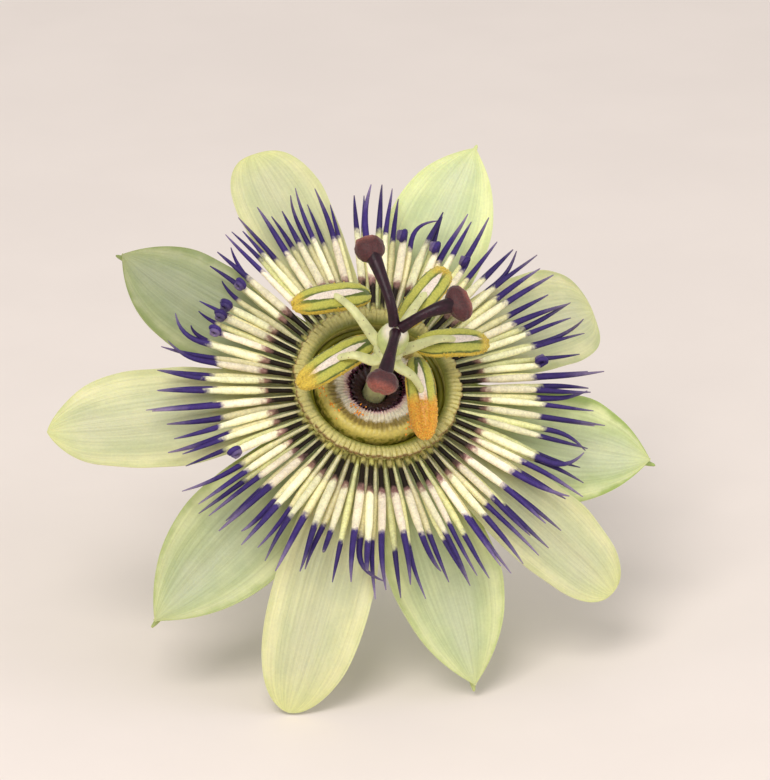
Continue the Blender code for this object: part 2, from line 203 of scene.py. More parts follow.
class FlowerColours(bpy.types.PropertyGroup):
    """Colours of the organs."""

    petal_middle: colour("Petal middle", "Middle of a petal's face", 200, 203, 158)
    petal_margin: colour("Petal margin", "Margin of a petal", 226, 223, 172)
    petal_tip: colour("Petal tip", "Tip of a petal", 222, 224, 150)
    # painted highlight: the whitish stripe down the middle of a petal's face
    petal_bloom: colour("Petal painted highlight", "Whitish middle of a petal's face", 208, 205, 170)
    petal_back: colour("Petal back", "Back of a petal", 196, 206, 150)
    sepal_middle: colour("Sepal middle", "Middle of a sepal's face", 178, 188, 142)
    sepal_margin: colour("Sepal margin", "Margin of a sepal's face", 207, 211, 156)
    sepal_tip: colour("Sepal tip", "Tip of a sepal's face", 200, 206, 140)
    # painted highlight: the whitish stripe down the middle of a sepal's face
    sepal_bloom: colour("Sepal painted highlight", "Whitish middle of a sepal's face", 196, 198, 168)
    sepal_rim: colour("Sepal rim", "Green rim of a sepal's face", 144, 164, 84)
    sepal_back: colour("Sepal back", "Back of a sepal", 150, 172, 96)
    sepal_keel: colour("Sepal keel", "Keel and horn of a sepal", 92, 126, 48)
    ray_root: colour("Ray root", "Foot of a filament", 198, 190, 116)
    ray_dark: colour("Ray dark band", "Dark band at a filament's base", 32, 22, 13)
    ray_blush: colour("Ray blush", "Edge of the dark band", 158, 120, 112)
    ray_cream: colour("Ray cream band", "Pale band of a filament", 253, 244, 214)
    ray_violet: colour("Ray violet band", "Outer band of a filament", 62, 46, 114)
    ray_end: colour("Ray tip", "Very tip of a filament", 134, 120, 154)
    ray_green: colour("Ray green", "Pale part of the lower filaments", 240, 234, 186)
    pali_foot: colour("Pali foot", "Foot of a short filament", 132, 134, 58)
    pali_stem: colour("Pali stem", "Stem of a short filament", 204, 194, 122)
    pali_knob: colour("Pali knob", "Knob of a short filament", 150, 118, 74)
    operculum_rim: colour("Operculum shoulder", "Shoulder of the operculum", 212, 194, 100)
    operculum_fold: colour("Operculum fold", "Fold of the operculum", 146, 126, 60)
    operculum_pale: colour("Operculum inside", "Pale inner part of the operculum", 222, 214, 192)
    operculum_blush: colour("Operculum blush", "Inner edge of the operculum", 222, 188, 186)
    fringe: colour("Fringe", "Fringe of the operculum", 86, 34, 62)
    limen: colour("Limen", "Collar round the column's foot", 48, 16, 24)
    # painted shade: a darker olive that makes the groove inside the cup's rim read as a recess
    painted_groove_shade: colour("Painted groove shade", "Groove inside the cup's rim", 128, 126, 30)
    cup_outside: colour("Cup outside", "Outside of the cup", 118, 146, 66)
    column: colour("Column", "Column and filaments of the stamens", 208, 208, 150)
    column_spot: colour("Column spots", "Spots on the column", 112, 60, 84)
    anther_lobe: colour("Anther lobe", "Halves of an anther", 188, 186, 78)
    anther_line: colour("Anther line", "Furrows of an anther", 92, 108, 30)
    anther_back: colour("Anther back", "Band along an anther's back", 238, 222, 206)
    pollen: colour("Pollen", "Clumped pollen", 232, 144, 24)
    pollen_light: colour("Light pollen", "Fresh pollen along an anther's edges", 226, 196, 62)
    pollen_fresh: colour("Fresh pollen", "Pollen of the anthers that have shed little", 214, 180, 58)
    anther_under: colour("Anther underside", "Underside of an anther", 128, 128, 48)
    ovary: colour("Ovary", "Side of the ovary", 190, 200, 130)
    ovary_top: colour("Ovary top", "Top of the ovary", 236, 226, 206)
    style: colour("Style", "Styles", 38, 12, 24)
    style_fleck: colour("Style fleck", "Flecks on the styles", 104, 62, 76)
    stigma: colour("Stigma", "Sides of a stigma", 70, 20, 22)
    stigma_face: colour("Stigma face", "Receptive face of a stigma", 148, 76, 60)
    bract: colour("Bract", "Face of a bract", 132, 160, 82)
    bract_vein: colour("Bract vein", "Veins and margin of a bract", 92, 128, 52)
    stalk: colour("Stalk", "Skin of the stalk", 96, 132, 54)
    stalk_shade: colour("Stalk shade", "Furrows of the stalk", 78, 112, 44)
    pith: colour("Pith", "Cut end of the stalk", 206, 214, 162)
    floor: colour("Floor", "Floor under the flower", 242, 231, 224)


# ---- Modelling by hand ----------------------------------------------------------------------------


def deselect_all():
    if bpy.context.object and bpy.context.object.mode != "OBJECT":
        bpy.ops.object.mode_set(mode="OBJECT")
    bpy.ops.object.select_all(action="DESELECT")


def select_only(piece):
    deselect_all()
    piece.select_set(True)
    bpy.context.view_layer.objects.active = piece


def edit(piece):
    """Opens a piece in edit mode, with all of it selected."""
    select_only(piece)
    bpy.ops.object.mode_set(mode="EDIT")
    bpy.ops.mesh.select_all(action="SELECT")


def leave_edit():
    bpy.ops.object.mode_set(mode="OBJECT")


def named(name):
    """The object that an operator has just added, under its own name."""
    piece = bpy.context.object
    piece.name = name
    piece.data.name = name
    return piece


def smoothstep(low, high, x):
    x = min(max((x - low) / (high - low), 0.0), 1.0)
    return x * x * (3 - 2 * x)


def bump_at(x, centre, width):
    """1 at the centre, falling away smoothly over the width."""
    return exp(-(((x - centre) / width) ** 2))


def bezier(points, t):
    """The point at t of the Bezier curve with these control points, and its direction there."""
    while len(points) > 2:
        points = [a.lerp(b, t) for a, b in zip(points, points[1:])]
    return points[0].lerp(points[1], t), (points[1] - points[0]).normalized()


def through(points, t):
    """A smooth curve through these points, t from 0 to 1."""
    spans = len(points) - 1
    i = min(int(t * spans), spans - 1)
    f = t * spans - i
    before = points[max(i - 1, 0)]
    after = points[min(i + 2, spans)]
    a, b = points[i], points[i + 1]
    out, into = (b - before) * 0.5, (after - a) * 0.5
    return (
        a * (2 * f**3 - 3 * f**2 + 1) + out * (f**3 - 2 * f**2 + f)
        + b * (3 * f**2 - 2 * f**3) + into * (f**3 - f**2)
    )


def curve(points):
    """The smooth curve through these points, as a function of t."""
    return lambda t: through(points, t)


def polar(angle, radius, height):
    return Vector((radius * cos(angle), radius * sin(angle), height))


def angle_round(point):
    """A point's angle round the flower's axis, or 0 on the axis."""
    return Vector((1, 0)).angle_signed(point.xy, 0) if point.xy.length > 1e-6 else 0.0


def moved(point, outwards, upwards=0.0):
    """The point moved away from the flower's axis and up."""
    scale = 1 + outwards / max(point.xy.length, MM)
    return Vector((point.x * scale, point.y * scale, point.z + upwards))


def add_skin(piece, values):
    """Stores one vector for each point, which the materials read as the attribute skin."""
    attributes = piece.data.attributes
    skin = attributes.get("skin") or attributes.new("skin", "FLOAT_VECTOR", "POINT")
    skin.data.foreach_set("vector", [x for value in values for x in value])


def read_skin(piece):
    return [tuple(item.vector) for item in piece.data.attributes["skin"].data]


def add_sheet(name, rows, columns, place):
    """A grid pulled into shape: place(u, v) says where it goes, u from 0 to 1 and v from -1 to 1."""
    deselect_all()
    bpy.ops.mesh.primitive_grid_add(x_subdivisions=rows, y_subdivisions=columns, size=2)
    sheet = named(name)
    where = [((vert.co.x + 1) / 2, vert.co.y) for vert in sheet.data.vertices]
    for vert, (u, v) in zip(sheet.data.vertices, where):
        vert.co = place(u, v)
    add_skin(sheet, [(u, v, 0.0) for u, v in where])
    return sheet


def close_seams(piece):
    """Merges a wrapped sheet's edges, fills its open ends and turns its faces outwards."""
    edit(piece)
    bpy.ops.mesh.remove_doubles(threshold=MERGE_DISTANCE)
    bpy.ops.mesh.select_all(action="DESELECT")
    bpy.ops.mesh.select_non_manifold()
    bpy.ops.mesh.fill_holes(sides=0)
    bpy.ops.mesh.select_all(action="SELECT")
    bpy.ops.mesh.normals_make_consistent(inside=False)
    leave_edit()


def add_tube(name, rows, columns, centre, radius, squash=1.0, reference=Vector((0, 0, 1))):
    """A sheet wrapped round a path. centre(u) is its middle and radius(u, turn) its radius."""

    def place(u, v):
        turn = pi * v
        ahead = (centre(min(u + 0.01, 1)) - centre(max(u - 0.01, 0))).normalized()
        side = reference.cross(ahead).normalized()
        upward = ahead.cross(side)
        reach = radius(u, turn)
        return centre(u) + side * (reach * cos(turn)) + upward * (reach * squash * sin(turn))

    tube = add_sheet(name, rows, columns, place)
    close_seams(tube)
    return tube


def add_ball(name, segments, rings, place):
    """A sphere pulled into shape: place(p) says where the point p of the unit sphere goes."""
    deselect_all()
    bpy.ops.mesh.primitive_uv_sphere_add(segments=segments, ring_count=rings, radius=1)
    ball = named(name)
    where = [vert.co.copy() for vert in ball.data.vertices]
    for vert, point in zip(ball.data.vertices, where):
        vert.co = place(point)
    add_skin(ball, where)
    return ball


def add_turned(name, profile, steps, sculpt=None, closed=False):
    """Spins a profile of (radius, height) points in mm round the flower's axis. sculpt(point) may then
    move each point."""
    deselect_all()
    mesh = bpy.data.meshes.new(name)
    pairs = [(i, i + 1) for i in range(len(profile) - 1)]
    if closed:
        pairs.append((len(profile) - 1, 0))
    mesh.from_pydata([Vector((r, 0, z)) * MM for r, z in profile], pairs, [])
    piece = bpy.data.objects.new(name, mesh)
    bpy.context.scene.collection.objects.link(piece)
    edit(piece)
    bpy.ops.mesh.spin(steps=steps, angle=tau, center=(0, 0, 0), axis=(0, 0, 1))
    bpy.ops.mesh.select_all(action="SELECT")
    bpy.ops.mesh.remove_doubles(threshold=MERGE_DISTANCE)
    bpy.ops.mesh.normals_make_consistent(inside=False)
    leave_edit()
    if sculpt:
        for vert in mesh.vertices:
            vert.co = sculpt(vert.co)
    return piece


def join(pieces):
    """Joins pieces into the first of them."""
    deselect_all()
    for piece in pieces:
        piece.select_set(True)
    bpy.context.view_layer.objects.active = pieces[0]
    bpy.ops.object.join()
    return pieces[0]


def settle(piece, *nodes, slot, material, in_flower=True):
    """Puts a piece in its place in the world, gives it its material and stands it for its nodes."""
    select_only(piece)
    if in_flower:
        piece.matrix_world = FLOWER_FRAME
        bpy.ops.object.transform_apply(location=True, rotation=True, scale=True)
    for vert in piece.data.vertices:
        vert.co.z = max(vert.co.z, 0.0)
    bpy.ops.object.shade_smooth_by_angle(angle=SHARP_EDGE)
    piece.data.materials.append(material)
    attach(piece, "root")
    if nodes:
        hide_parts(*nodes)
    return piece


# ---- Materials ------------------------------------------------------------------------------------


class Finish:
    """A material under construction: short names for the nodes that the finishes share."""

    def __init__(self, name, roughness=0.5, subsurface=0.0, sheen=0.0, specular=0.5):
        self.material = bpy.data.materials.new(name)
        self.material.use_nodes = True
        self.tree = self.material.node_tree
        self.shader = self.tree.nodes["Principled BSDF"]
        self.shader.inputs["Roughness"].default_value = roughness
        self.shader.inputs["Specular IOR Level"].default_value = specular
        if subsurface:
            self.shader.inputs["Subsurface Weight"].default_value = subsurface
            self.shader.inputs["Subsurface Radius"].default_value = (1.0, 0.8, 0.4)
            self.shader.inputs["Subsurface Scale"].default_value = 0.7 * MM
        if sheen:
            self.shader.inputs["Sheen Weight"].default_value = sheen

    def node(self, kind, **options):
        made = self.tree.nodes.new(kind)
        for key, value in options.items():
            setattr(made, key, value)
        return made

    def feed(self, socket, value):
        """Links a socket to another, or sets its value."""
        if isinstance(value, bpy.types.NodeSocket):
            self.tree.links.new(value, socket)
        elif hasattr(value, "__len__") and len(value) == 3 and socket.type == "RGBA":
            socket.default_value = (*value, 1.0)
        else:
            socket.default_value = value

    def skin_vector(self):
        return self.node("ShaderNodeAttribute", attribute_name="skin").outputs["Vector"]

    def skin(self):
        """The three numbers that the piece's points carry."""
        return self.split(self.skin_vector())

    def split(self, vector):
        parts = self.node("ShaderNodeSeparateXYZ")
        self.feed(parts.inputs[0], vector)
        return parts.outputs

    def flower(self):
        """Object coordinates turned into the flower's frame, in millimetres."""
        source = self.node("ShaderNodeTexCoord")
        place = self.node("ShaderNodeMapping", vector_type="TEXTURE")
        self.feed(place.inputs["Vector"], source.outputs["Object"])
        place.inputs["Location"].default_value = HEAD_CENTRE
        place.inputs["Rotation"].default_value = (FACE_TILT, 0, 0)
        place.inputs["Scale"].default_value = (MM, MM, MM)
        return place.outputs["Vector"]

    def stretched(self, vector, scale):
        mapped = self.node("ShaderNodeMapping")
        self.feed(mapped.inputs["Vector"], vector)
        mapped.inputs["Scale"].default_value = scale
        return mapped.outputs["Vector"]

    def radius(self):
        """Distance from the flower's axis."""
        flat = self.node("ShaderNodeVectorMath", operation="MULTIPLY")
        self.feed(flat.inputs[0], self.flower())
        flat.inputs[1].default_value = (1, 1, 0)
        length = self.node("ShaderNodeVectorMath", operation="LENGTH")
        self.feed(length.inputs[0], flat.outputs[0])
        return length.outputs["Value"]

    def height(self):
        """Height above the corona's base."""
        return self.split(self.flower())["Z"]

    def math(self, operation, a, b=0.0):
        made = self.node("ShaderNodeMath", operation=operation)
        self.feed(made.inputs[0], a)
        if len(made.inputs) > 1:
            self.feed(made.inputs[1], b)
        return made.outputs[0]

    def span(self, value, low, high, to_low=0.0, to_high=1.0):
        """Maps a number from one range to another, without overshooting."""
        made = self.node("ShaderNodeMapRange", interpolation_type="SMOOTHSTEP")
        self.feed(made.inputs["Value"], value)
        for key, number in zip(("From Min", "From Max", "To Min", "To Max"), (low, high, to_low, to_high)):
            made.inputs[key].default_value = number
        return made.outputs["Result"]

    def noise(self, vector, scale, detail=3.0, roughness=0.55):
        made = self.node("ShaderNodeTexNoise")
        self.feed(made.inputs["Vector"], vector)
        made.inputs["Scale"].default_value = scale
        made.inputs["Detail"].default_value = detail
        made.inputs["Roughness"].default_value = roughness
        return made.outputs["Fac"]

    def spots(self, vector, scale, size):
        """1 inside scattered round spots, 0 between them."""
        made = self.node("ShaderNodeTexVoronoi")
        self.feed(made.inputs["Vector"], vector)
        made.inputs["Scale"].default_value = scale
        return self.span(made.outputs["Distance"], size * 1.4, size * 0.7)

    def ramp(self, factor, stops):
        made = self.node("ShaderNodeValToRGB")
        self.feed(made.inputs["Fac"], factor)
        points = made.color_ramp.elements
        while len(points) < len(stops):
            points.new(0.5)
        for point, (place, shade) in zip(points, sorted(stops, key=lambda stop: stop[0])):
            point.position = place
            point.color = (*shade, 1.0)
        return made.outputs["Color"]

    def mix(self, factor, a, b, blend="MIX"):
        made = self.node("ShaderNodeMix", data_type="RGBA", blend_type=blend)
        self.feed(made.inputs["Factor"], factor)
        self.feed(made.inputs["A"], a)
        self.feed(made.inputs["B"], b)
        return made.outputs["Result"]

    def tint(self, shade, factor, low, high):
        """Darkens or lightens a colour between two brightnesses by a pattern."""
        level = self.span(factor, 0.3, 0.7, low, high)
        grey = self.node("ShaderNodeCombineColor")
        for channel in grey.inputs:
            self.feed(channel, level)
        return self.mix(1.0, shade, grey.outputs["Color"], "MULTIPLY")

    def wander(self, value, pattern, amount):
        """A number pushed up and down by a pattern, by this much either way."""
        return self.math("ADD", value, self.span(pattern, 0.3, 0.7, -amount, amount))

    def mottle(self, shade, scale, detail, low, high):
        """Tints a colour in blotches, which are smaller when the scale is larger."""
        return self.tint(shade, self.noise(self.flower(), scale, detail), low, high)

    def roughen(self, scale, detail, depth, strength=1.0):
        """Gives the surface a fine unevenness."""
        self.bump(self.noise(self.flower(), scale, detail), depth, strength)

    def bump(self, height, distance, strength=1.0):
        made = self.node("ShaderNodeBump")
        made.inputs["Strength"].default_value = strength
        made.inputs["Distance"].default_value = distance
        self.feed(made.inputs["Height"], height)
        self.feed(self.shader.inputs["Normal"], made.outputs["Normal"])

    def done(self, shade, roughness=None):
        self.feed(self.shader.inputs["Base Color"], shade)
        if roughness is not None:
            self.feed(self.shader.inputs["Roughness"], roughness)
        return self.material


def tepal_finish(blade, colours, kind, keel):
    """Pale face with lengthwise veins, a painted whitish highlight down its middle, brighter towards its
    margin and greener at its very rim, and a back of its own colour with a keel."""
    middle, margin, tip, back, bloom = (
        getattr(colours, f"{kind}_{part}") for part in ("middle", "margin", "tip", "back", "bloom")
    )
    rim = colours.sepal_rim
    finish = Finish(blade.node, roughness=0.46, subsurface=0.3, sheen=0.15)
    along, across, under = finish.skin()
    side = finish.math("ABSOLUTE", across)
    cloud = finish.noise(finish.flower(), 0.16, 3)
    blotch = finish.noise(finish.flower(), 0.22, 3)

    face = finish.mix(finish.span(finish.wander(side, cloud, 0.12), 0.35, 1.0), middle, margin)
    face = finish.mix(finish.span(blotch, 0.45, 0.75, 0.0, 0.35), face, margin)
    from_zone = finish.math("SUBTRACT", side, finish.span(blotch, 0.3, 0.7, 0.52, 0.72))
    green_zone = finish.span(finish.math("ABSOLUTE", from_zone), 0.22, 0.0, 0.0, 0.32 * blade.rim)
    face = finish.mix(green_zone, face, rim)
    # Painted highlight: a whitish stripe down the middle of the face, from about a third of the way along
    whitish = finish.span(finish.wander(side, cloud, 0.15), 0.50, 0.05, 0.0, 0.42)
    face = finish.mix(finish.math("MULTIPLY", whitish, finish.span(along, 0.35, 0.62)), face, bloom)
    face = finish.mix(finish.span(along, 0.72, 1.0, 0.0, 0.75), face, tip)
    face = finish.mix(finish.span(finish.wander(side, blotch, 0.06), 0.80, 0.98, 0.0, blade.rim), face, rim)

    behind = finish.mix(finish.span(side, 0.55, 1.0), back, margin)
    behind = finish.mix(finish.span(side, 0.16, 0.02), behind, keel)
    shade = finish.mix(under, face, behind)
    veins = finish.noise(finish.stretched(finish.skin_vector(), (1.6, 17, 1)), 1.0, 3, 0.6)
    # The blade's tone paints its light and shade into all of its colour.
    shade = finish.tint(shade, veins, 0.90 * blade.tone, 1.06 * blade.tone)
    grain = finish.noise(finish.flower(), 2.6, 4, 0.65)
    shade = finish.tint(shade, grain, 0.96, 1.035)
    finish.bump(finish.math("ADD", veins, finish.math("MULTIPLY", grain, 0.35)), 0.12 * MM, 0.8)
    return finish.done(shade, finish.span(grain, 0.3, 0.7, 0.40, 0.56))


def ray_finish(name, colours, dark, blush, cream):
    """Bands along a filament: a dark foot, a cream middle and a violet end. skin carries the distance
    from the axis as a share of the corona's reach, and a number of the filament's own."""
    finish = Finish(name, roughness=0.5, subsurface=0.2, specular=0.2)
    along, own, _ = finish.skin()
    stray = finish.math("MULTIPLY", finish.span(own, 0.0, 1.0, -0.028, 0.028), finish.span(along, 0.5, 0.7))
    place = finish.wander(finish.math("ADD", along, stray), finish.noise(finish.flower(), 1.1, 2), 0.010)
    bands = (  # the distance from the axis in mm, and the colour there
        (12.1, colours.ray_root), (12.9, dark), (15.9, dark), (16.9, blush), (17.8, cream), (24.0, cream),
        (25.0, colours.ray_violet), (29.0, colours.ray_violet), (33.5, colours.ray_end),
    )
    shade = finish.ramp(place, [(reach / CORONA_REACH, tone) for reach, tone in bands])
    warmth = finish.mix(own, (0.94, 1.0, 0.82), (1.0, 0.95, 0.98))
    shade = finish.mix(1.0, shade, warmth, "MULTIPLY")
    shade = finish.tint(shade, finish.math("FRACT", finish.math("MULTIPLY", own, 7.3)), 0.84, 1.12)
    streak = finish.noise(finish.stretched(finish.flower(), (1.0, 1.0, 0.3)), 0.9, 3)
    shade = finish.tint(shade, streak, 0.90, 1.10)
    shade = finish.mottle(shade, 3.0, 3, 0.88, 1.08)
    finish.roughen(4.0, 2, 0.06 * MM, 0.6)
    return finish.done(shade)


# ---- Tepals and bracts ----------------------------------------------------------------------------


class Outline(NamedTuple):
    """How broad a blade is along its length, as shares of the length and of the full half width."""

    base: float  # breadth at the base
    broadest: float  # where the blade is broadest
    fullness: float  # the power by which the end narrows
    end: float  # breadth of the very end

    def at(self, u, taper):
        if u < self.broadest:
            return self.base + (1 - self.base) * smoothstep(0, self.broadest, u)
        narrowing = ((u - self.broadest) / (1 - self.broadest)) ** self.fullness
        return max(self.end, max(0.0, 1 - narrowing) ** taper)


PETAL_OUTLINE = Outline(0.66, 0.6, 2.5, 0.012)
SEPAL_OUTLINE = Outline(0.66, 0.5, 2.3, 0.03)
BRACT_OUTLINE = Outline(0.3, 0.4, 2.0, 0.03)


def blade_place(blade, midrib, outline, trough, wave, furrow, seed):
    """Where a point of a blade's face goes, as a function of u along it and v across it."""
    turn_to = Matrix.Rotation(radians(blade.angle), 3, "Z")

    def place(u, v):
        u = 1 - (1 - u) ** 1.35  # closer rows towards the tip
        middle, along = bezier(midrib, u)
        normal = Vector((-along.y, along.x))
        across = v * outline.at(u, blade.taper)
        side = across * blade.half_width * MM
        lift = trough * across * across * smoothstep(0.3, 0.8, u)
        ripple = sin(tau * (2.4 * u + seed) + across) + 0.6 * sin(tau * (4.7 * u - 1.7 * seed) - 2 * across)
        lift += wave * ripple * abs(across) ** 3 * smoothstep(0.15, 0.6, u) * 0.6
        lift += wave * 1.3 * noise.noise(Vector((u * 2.6, across * 1.4, seed * 7.1)))
        veined = smoothstep(0.1, 0.4, u) * (1 - smoothstep(0.85, 1, u))
        lift -= furrow * (0.5 - 0.5 * cos(tau * 4.5 * v)) * veined
        lift -= 3.0 * furrow * bump_at(v, 0, 0.10) * (1 - smoothstep(0.7, 1, u))
        roll = radians(blade.roll) * smoothstep(0, 1, u)
        side, lift = side * cos(roll) - lift * sin(roll), side * sin(roll) + lift * cos(roll)
        bow = blade.sweep * MM * sin(pi * u)
        return turn_to @ Vector((middle.x + normal.x * lift, side + bow, middle.y + normal.y * lift))

    return place


def thicken(sheet, thickness, keel=0.0):
    """Gives a blade its thickness, thinner towards its margin and tip, with a keel down its back."""
    edit(sheet)
    bpy.ops.mesh.remove_doubles(threshold=TIP_MERGE)
    leave_edit()
    body = sheet.vertex_groups.new(name="body")
    skin = read_skin(sheet)
    for i, (u, v, _) in enumerate(skin):
        body.add([i], (1 - 0.72 * abs(v) ** 2.5) * (1 - 0.8 * smoothstep(0.92, 1, u)), "REPLACE")
    shell = sheet.modifiers.new("thickness", "SOLIDIFY")
    shell.thickness = thickness
    shell.offset = -1.0
    shell.vertex_group = body.name
    bpy.ops.object.modifier_apply(modifier=shell.name)
    face_points = len(skin)
    vertices = sheet.data.vertices
    backwards = [vertices[i].co - vertices[i + face_points].co for i in range(face_points)]
    for i, (u, v, _) in enumerate(skin):
        ridge = keel * bump_at(v, 0, 0.09) * smoothstep(0.05, 0.5, u) * (1 - 0.5 * smoothstep(0.9, 1, u))
        vertices[i + face_points].co -= backwards[i].normalized() * ridge
    add_skin(sheet, skin + [(u, v, 1.0) for u, v, _ in skin])


def add_blade(name, blade, midrib, outline, trough, seed, thickness, keel=0.0, furrow=1.0, grid=(84, 34)):
    """A sepal, petal or bract. furrow is how deep its veins lie, against the tepals'."""
    sizes, _ = settings(bpy.context)
    place = blade_place(blade, midrib, outline, trough, sizes.margin_wave, sizes.vein_depth * furrow, seed)
    sheet = add_sheet(name, *grid, place)
    thicken(sheet, thickness, keel)
    return sheet


def tepal_midrib(blade, heights, droop):
    """A tepal's midrib, from the cup's edge to its tip. heights are those of its first three control points
    in mm, and the third hangs by droop, a share of the tip's drop."""
    root = CUP_RADIUS - 0.2
    span = blade.reach - root
    low, belly, bend = heights
    return [
        Vector((root, low)) * MM,
        Vector((root + 0.30 * span, belly)) * MM,
        Vector((root + 0.72 * span, bend - droop * blade.drop)) * MM,
        Vector((blade.reach, -blade.drop)) * MM,
    ]


def add_awn(blade, tip, along, length):
    """The small green horn just behind a sepal's tip."""
    turn_to = Matrix.Rotation(radians(blade.angle), 3, "Z")
    ahead = turn_to @ Vector((along.x, 0, along.y))
    down = turn_to @ Vector((along.y, 0, -along.x))
    hidden = 2.2 * MM  # how much of the horn lies along the sepal's back
    start = turn_to @ Vector((tip.x, 0, tip.y)) - ahead * hidden + down * 1.0 * MM

    def centre(u):
        return start + ahead * (u * (length + hidden)) + down * (0.25 * MM * u)

    def radius(u, turn):
        return (0.5 * (1 - u) ** 0.6 + 0.13) * MM

    awn = add_tube("awn", 14, 12, centre, radius, reference=down)
    add_skin(awn, [(1.0, 1.0, 0.0)] * len(awn.data.vertices))
    return awn


class FLOWER_OT_sepals(bpy.types.Operator):
    """Models the five pointed sepals, with a keel and a horn at the tip"""

    bl_idname = "flower.sepals"
    bl_label = "Sepals"

    def execute(self, context):
        sizes, colours = settings(context)
        for i, blade in enumerate(SEPALS):
            midrib = tepal_midrib(blade, (-2.4, -3.3, -2.4), 0.3)
            face = add_blade(
                f"{blade.node}_face", blade, midrib, SEPAL_OUTLINE, trough=1.5 * MM, seed=0.31 * i + 0.1,
                thickness=sizes.sepal_thickness, keel=0.7 * MM,
            )
            tip, along = bezier(midrib, 1.0)
            sepal = join([face, add_awn(blade, tip, along, sizes.awn_length)])
            finish = tepal_finish(blade, colours, "sepal", colours.sepal_keel)
            settle(sepal, blade.node, slot="sepal", material=finish)
        return {"FINISHED"}


class FLOWER_OT_petals(bpy.types.Operator):
    """Models the five round-ended petals"""

    bl_idname = "flower.petals"
    bl_label = "Petals"

    def execute(self, context):
        sizes, colours = settings(context)
        for i, blade in enumerate(PETALS):
            midrib = tepal_midrib(blade, (-0.9, -0.2, -0.6), 0.26)
            petal = add_blade(
                f"{blade.node}_face", blade, midrib, PETAL_OUTLINE, trough=1.0 * MM, seed=0.43 * i + 0.7,
                thickness=sizes.petal_thickness,
            )
            finish = tepal_finish(blade, colours, "petal", colours.petal_margin)
            settle(petal, blade.node, slot="petal", material=finish)
        return {"FINISHED"}


def bract_finish(colours):
    """Thin green leaf with a midrib and veins that branch from it."""
    finish = Finish("bract", roughness=0.5, subsurface=0.2, sheen=0.1)
    along, across, under = finish.skin()
    side = finish.math("ABSOLUTE", across)
    slant = finish.math("SUBTRACT", finish.math("MULTIPLY", along, 26.0), finish.math("MULTIPLY", side, 11.0))
    rib = finish.math("POWER", finish.math("ABSOLUTE", finish.math("COSINE", slant)), 14.0)
    rib = finish.math("MAXIMUM", rib, finish.span(side, 0.06, 0.01))
    net = finish.noise(finish.flower(), 1.5, 4, 0.7)
    shade = finish.mix(finish.math("MULTIPLY", rib, 0.5), colours.bract, colours.bract_vein)
    shade = finish.mix(finish.span(side, 0.88, 1.0, 0.0, 0.7), shade, colours.bract_vein)
    shade = finish.tint(shade, net, 0.86, 1.1)
    shade = finish.mix(finish.math("MULTIPLY", under, 0.25), shade, colours.sepal_back)
    finish.bump(finish.math("SUBTRACT", net, rib), 0.10 * MM, 0.7)
    return finish.done(shade)


class FLOWER_OT_bracts(bpy.types.Operator):
    """Models the three bracts that cup the back of the flower"""

    bl_idname = "flower.bracts"
    bl_label = "Bracts"

    def execute(self, context):
        sizes, colours = settings(context)
        finish = bract_finish(colours)
        for i, angle in enumerate((30, 150, 270)):
            blade = Blade(f"bract_{i + 1}", angle, reach=21.5, drop=8.6, half_width=7.5, roll=0, sweep=0.4)
            midrib = [
                Vector((1.6, BRACT_NODE)) * MM,
                Vector((8.0, BRACT_NODE - 1.8)) * MM,
                Vector((15.0, BRACT_NODE + 1.2)) * MM,
                Vector((blade.reach, -blade.drop)) * MM,
            ]
            bract = add_blade(
                f"{blade.node}_leaf", blade, midrib, BRACT_OUTLINE, trough=2.0 * MM, seed=0.57 * i + 0.2,
                thickness=sizes.bract_thickness, keel=0.25 * MM, furrow=0.4, grid=(56, 26),
            )
            settle(bract, blade.node, slot="bract", material=finish)
        return {"FINISHED"}


# ---- Corona ---------------------------------------------------------------------------------------


LINE_STEPS = 120  # that a filament's line is worked out in
RAY_LENGTH = 22.7 * MM  # of the straight filaments that are copied
ROLLED_REACH = 33.2  # of the filaments with rolled-up ends, before they roll, in mm
RAY_SHAPE = (  # share of the length, and share of the stoutest radius there
    (0.05, 0.60), (0.12, 0.60), (0.20, 0.64), (0.26, 0.80), (0.32, 1.0), (0.42, 1.0), (0.52, 0.98),
    (0.58, 0.82), (0.62, 0.79), (0.66, 0.76), (0.71, 0.72), (0.76, 0.67), (0.80, 0.61), (0.84, 0.54),
    (0.88, 0.46), (0.92, 0.37), (0.96, 0.26), (1.0, 0.14),
)
ROLLED_SHAPE = (*RAY_SHAPE[:9], *((0.66 + 0.34 * i / 30, 0.74 - 0.2 * i / 30) for i in range(1, 31)))


class Series(NamedTuple):
    """One long series of the corona."""

    node: str
    low: float  # the underside of its ring, mm
    high: float  # the top of its ring, mm
    phase: float  # how far it is turned, in filaments
    root_height: float  # mm
    rise: float  # from a filament's root to its end, mm
    seed: int


SERIES = (
    Series("corona_outer", -0.2, 0.45, 0.0, 0.4, 0.4, 21),
    Series("corona_inner", 0.7, 1.5, 0.5, 1.0, 1.4, 34),
)


def straight_ray(name, stoutest, shape):
    """One filament laid straight along +X: a disc drawn out in steps that swell and then taper."""
    deselect_all()
    bpy.ops.mesh.primitive_circle_add(
        vertices=8, radius=stoutest * shape[0][1], fill_type="NGON", rotation=(0, pi / 2, 0)
    )
    ray = named(name)
    bpy.ops.object.transform_apply(location=True, rotation=True, scale=True)
    edit(ray)
    before, width = 0.0, shape[0][1]
    for share, scale in shape:
        step = (share - before) * RAY_LENGTH
        bpy.ops.mesh.extrude_region_move(TRANSFORM_OT_translate={"value": (step, 0, 0)})
        ratio = scale / width
        bpy.ops.transform.resize(value=(1, ratio, ratio), center_override=(share * RAY_LENGTH, 0, 0))
        before, width = share, scale
    bpy.ops.mesh.select_all(action="SELECT")
    bpy.ops.mesh.normals_make_consistent(inside=False)
    leave_edit()
    return ray


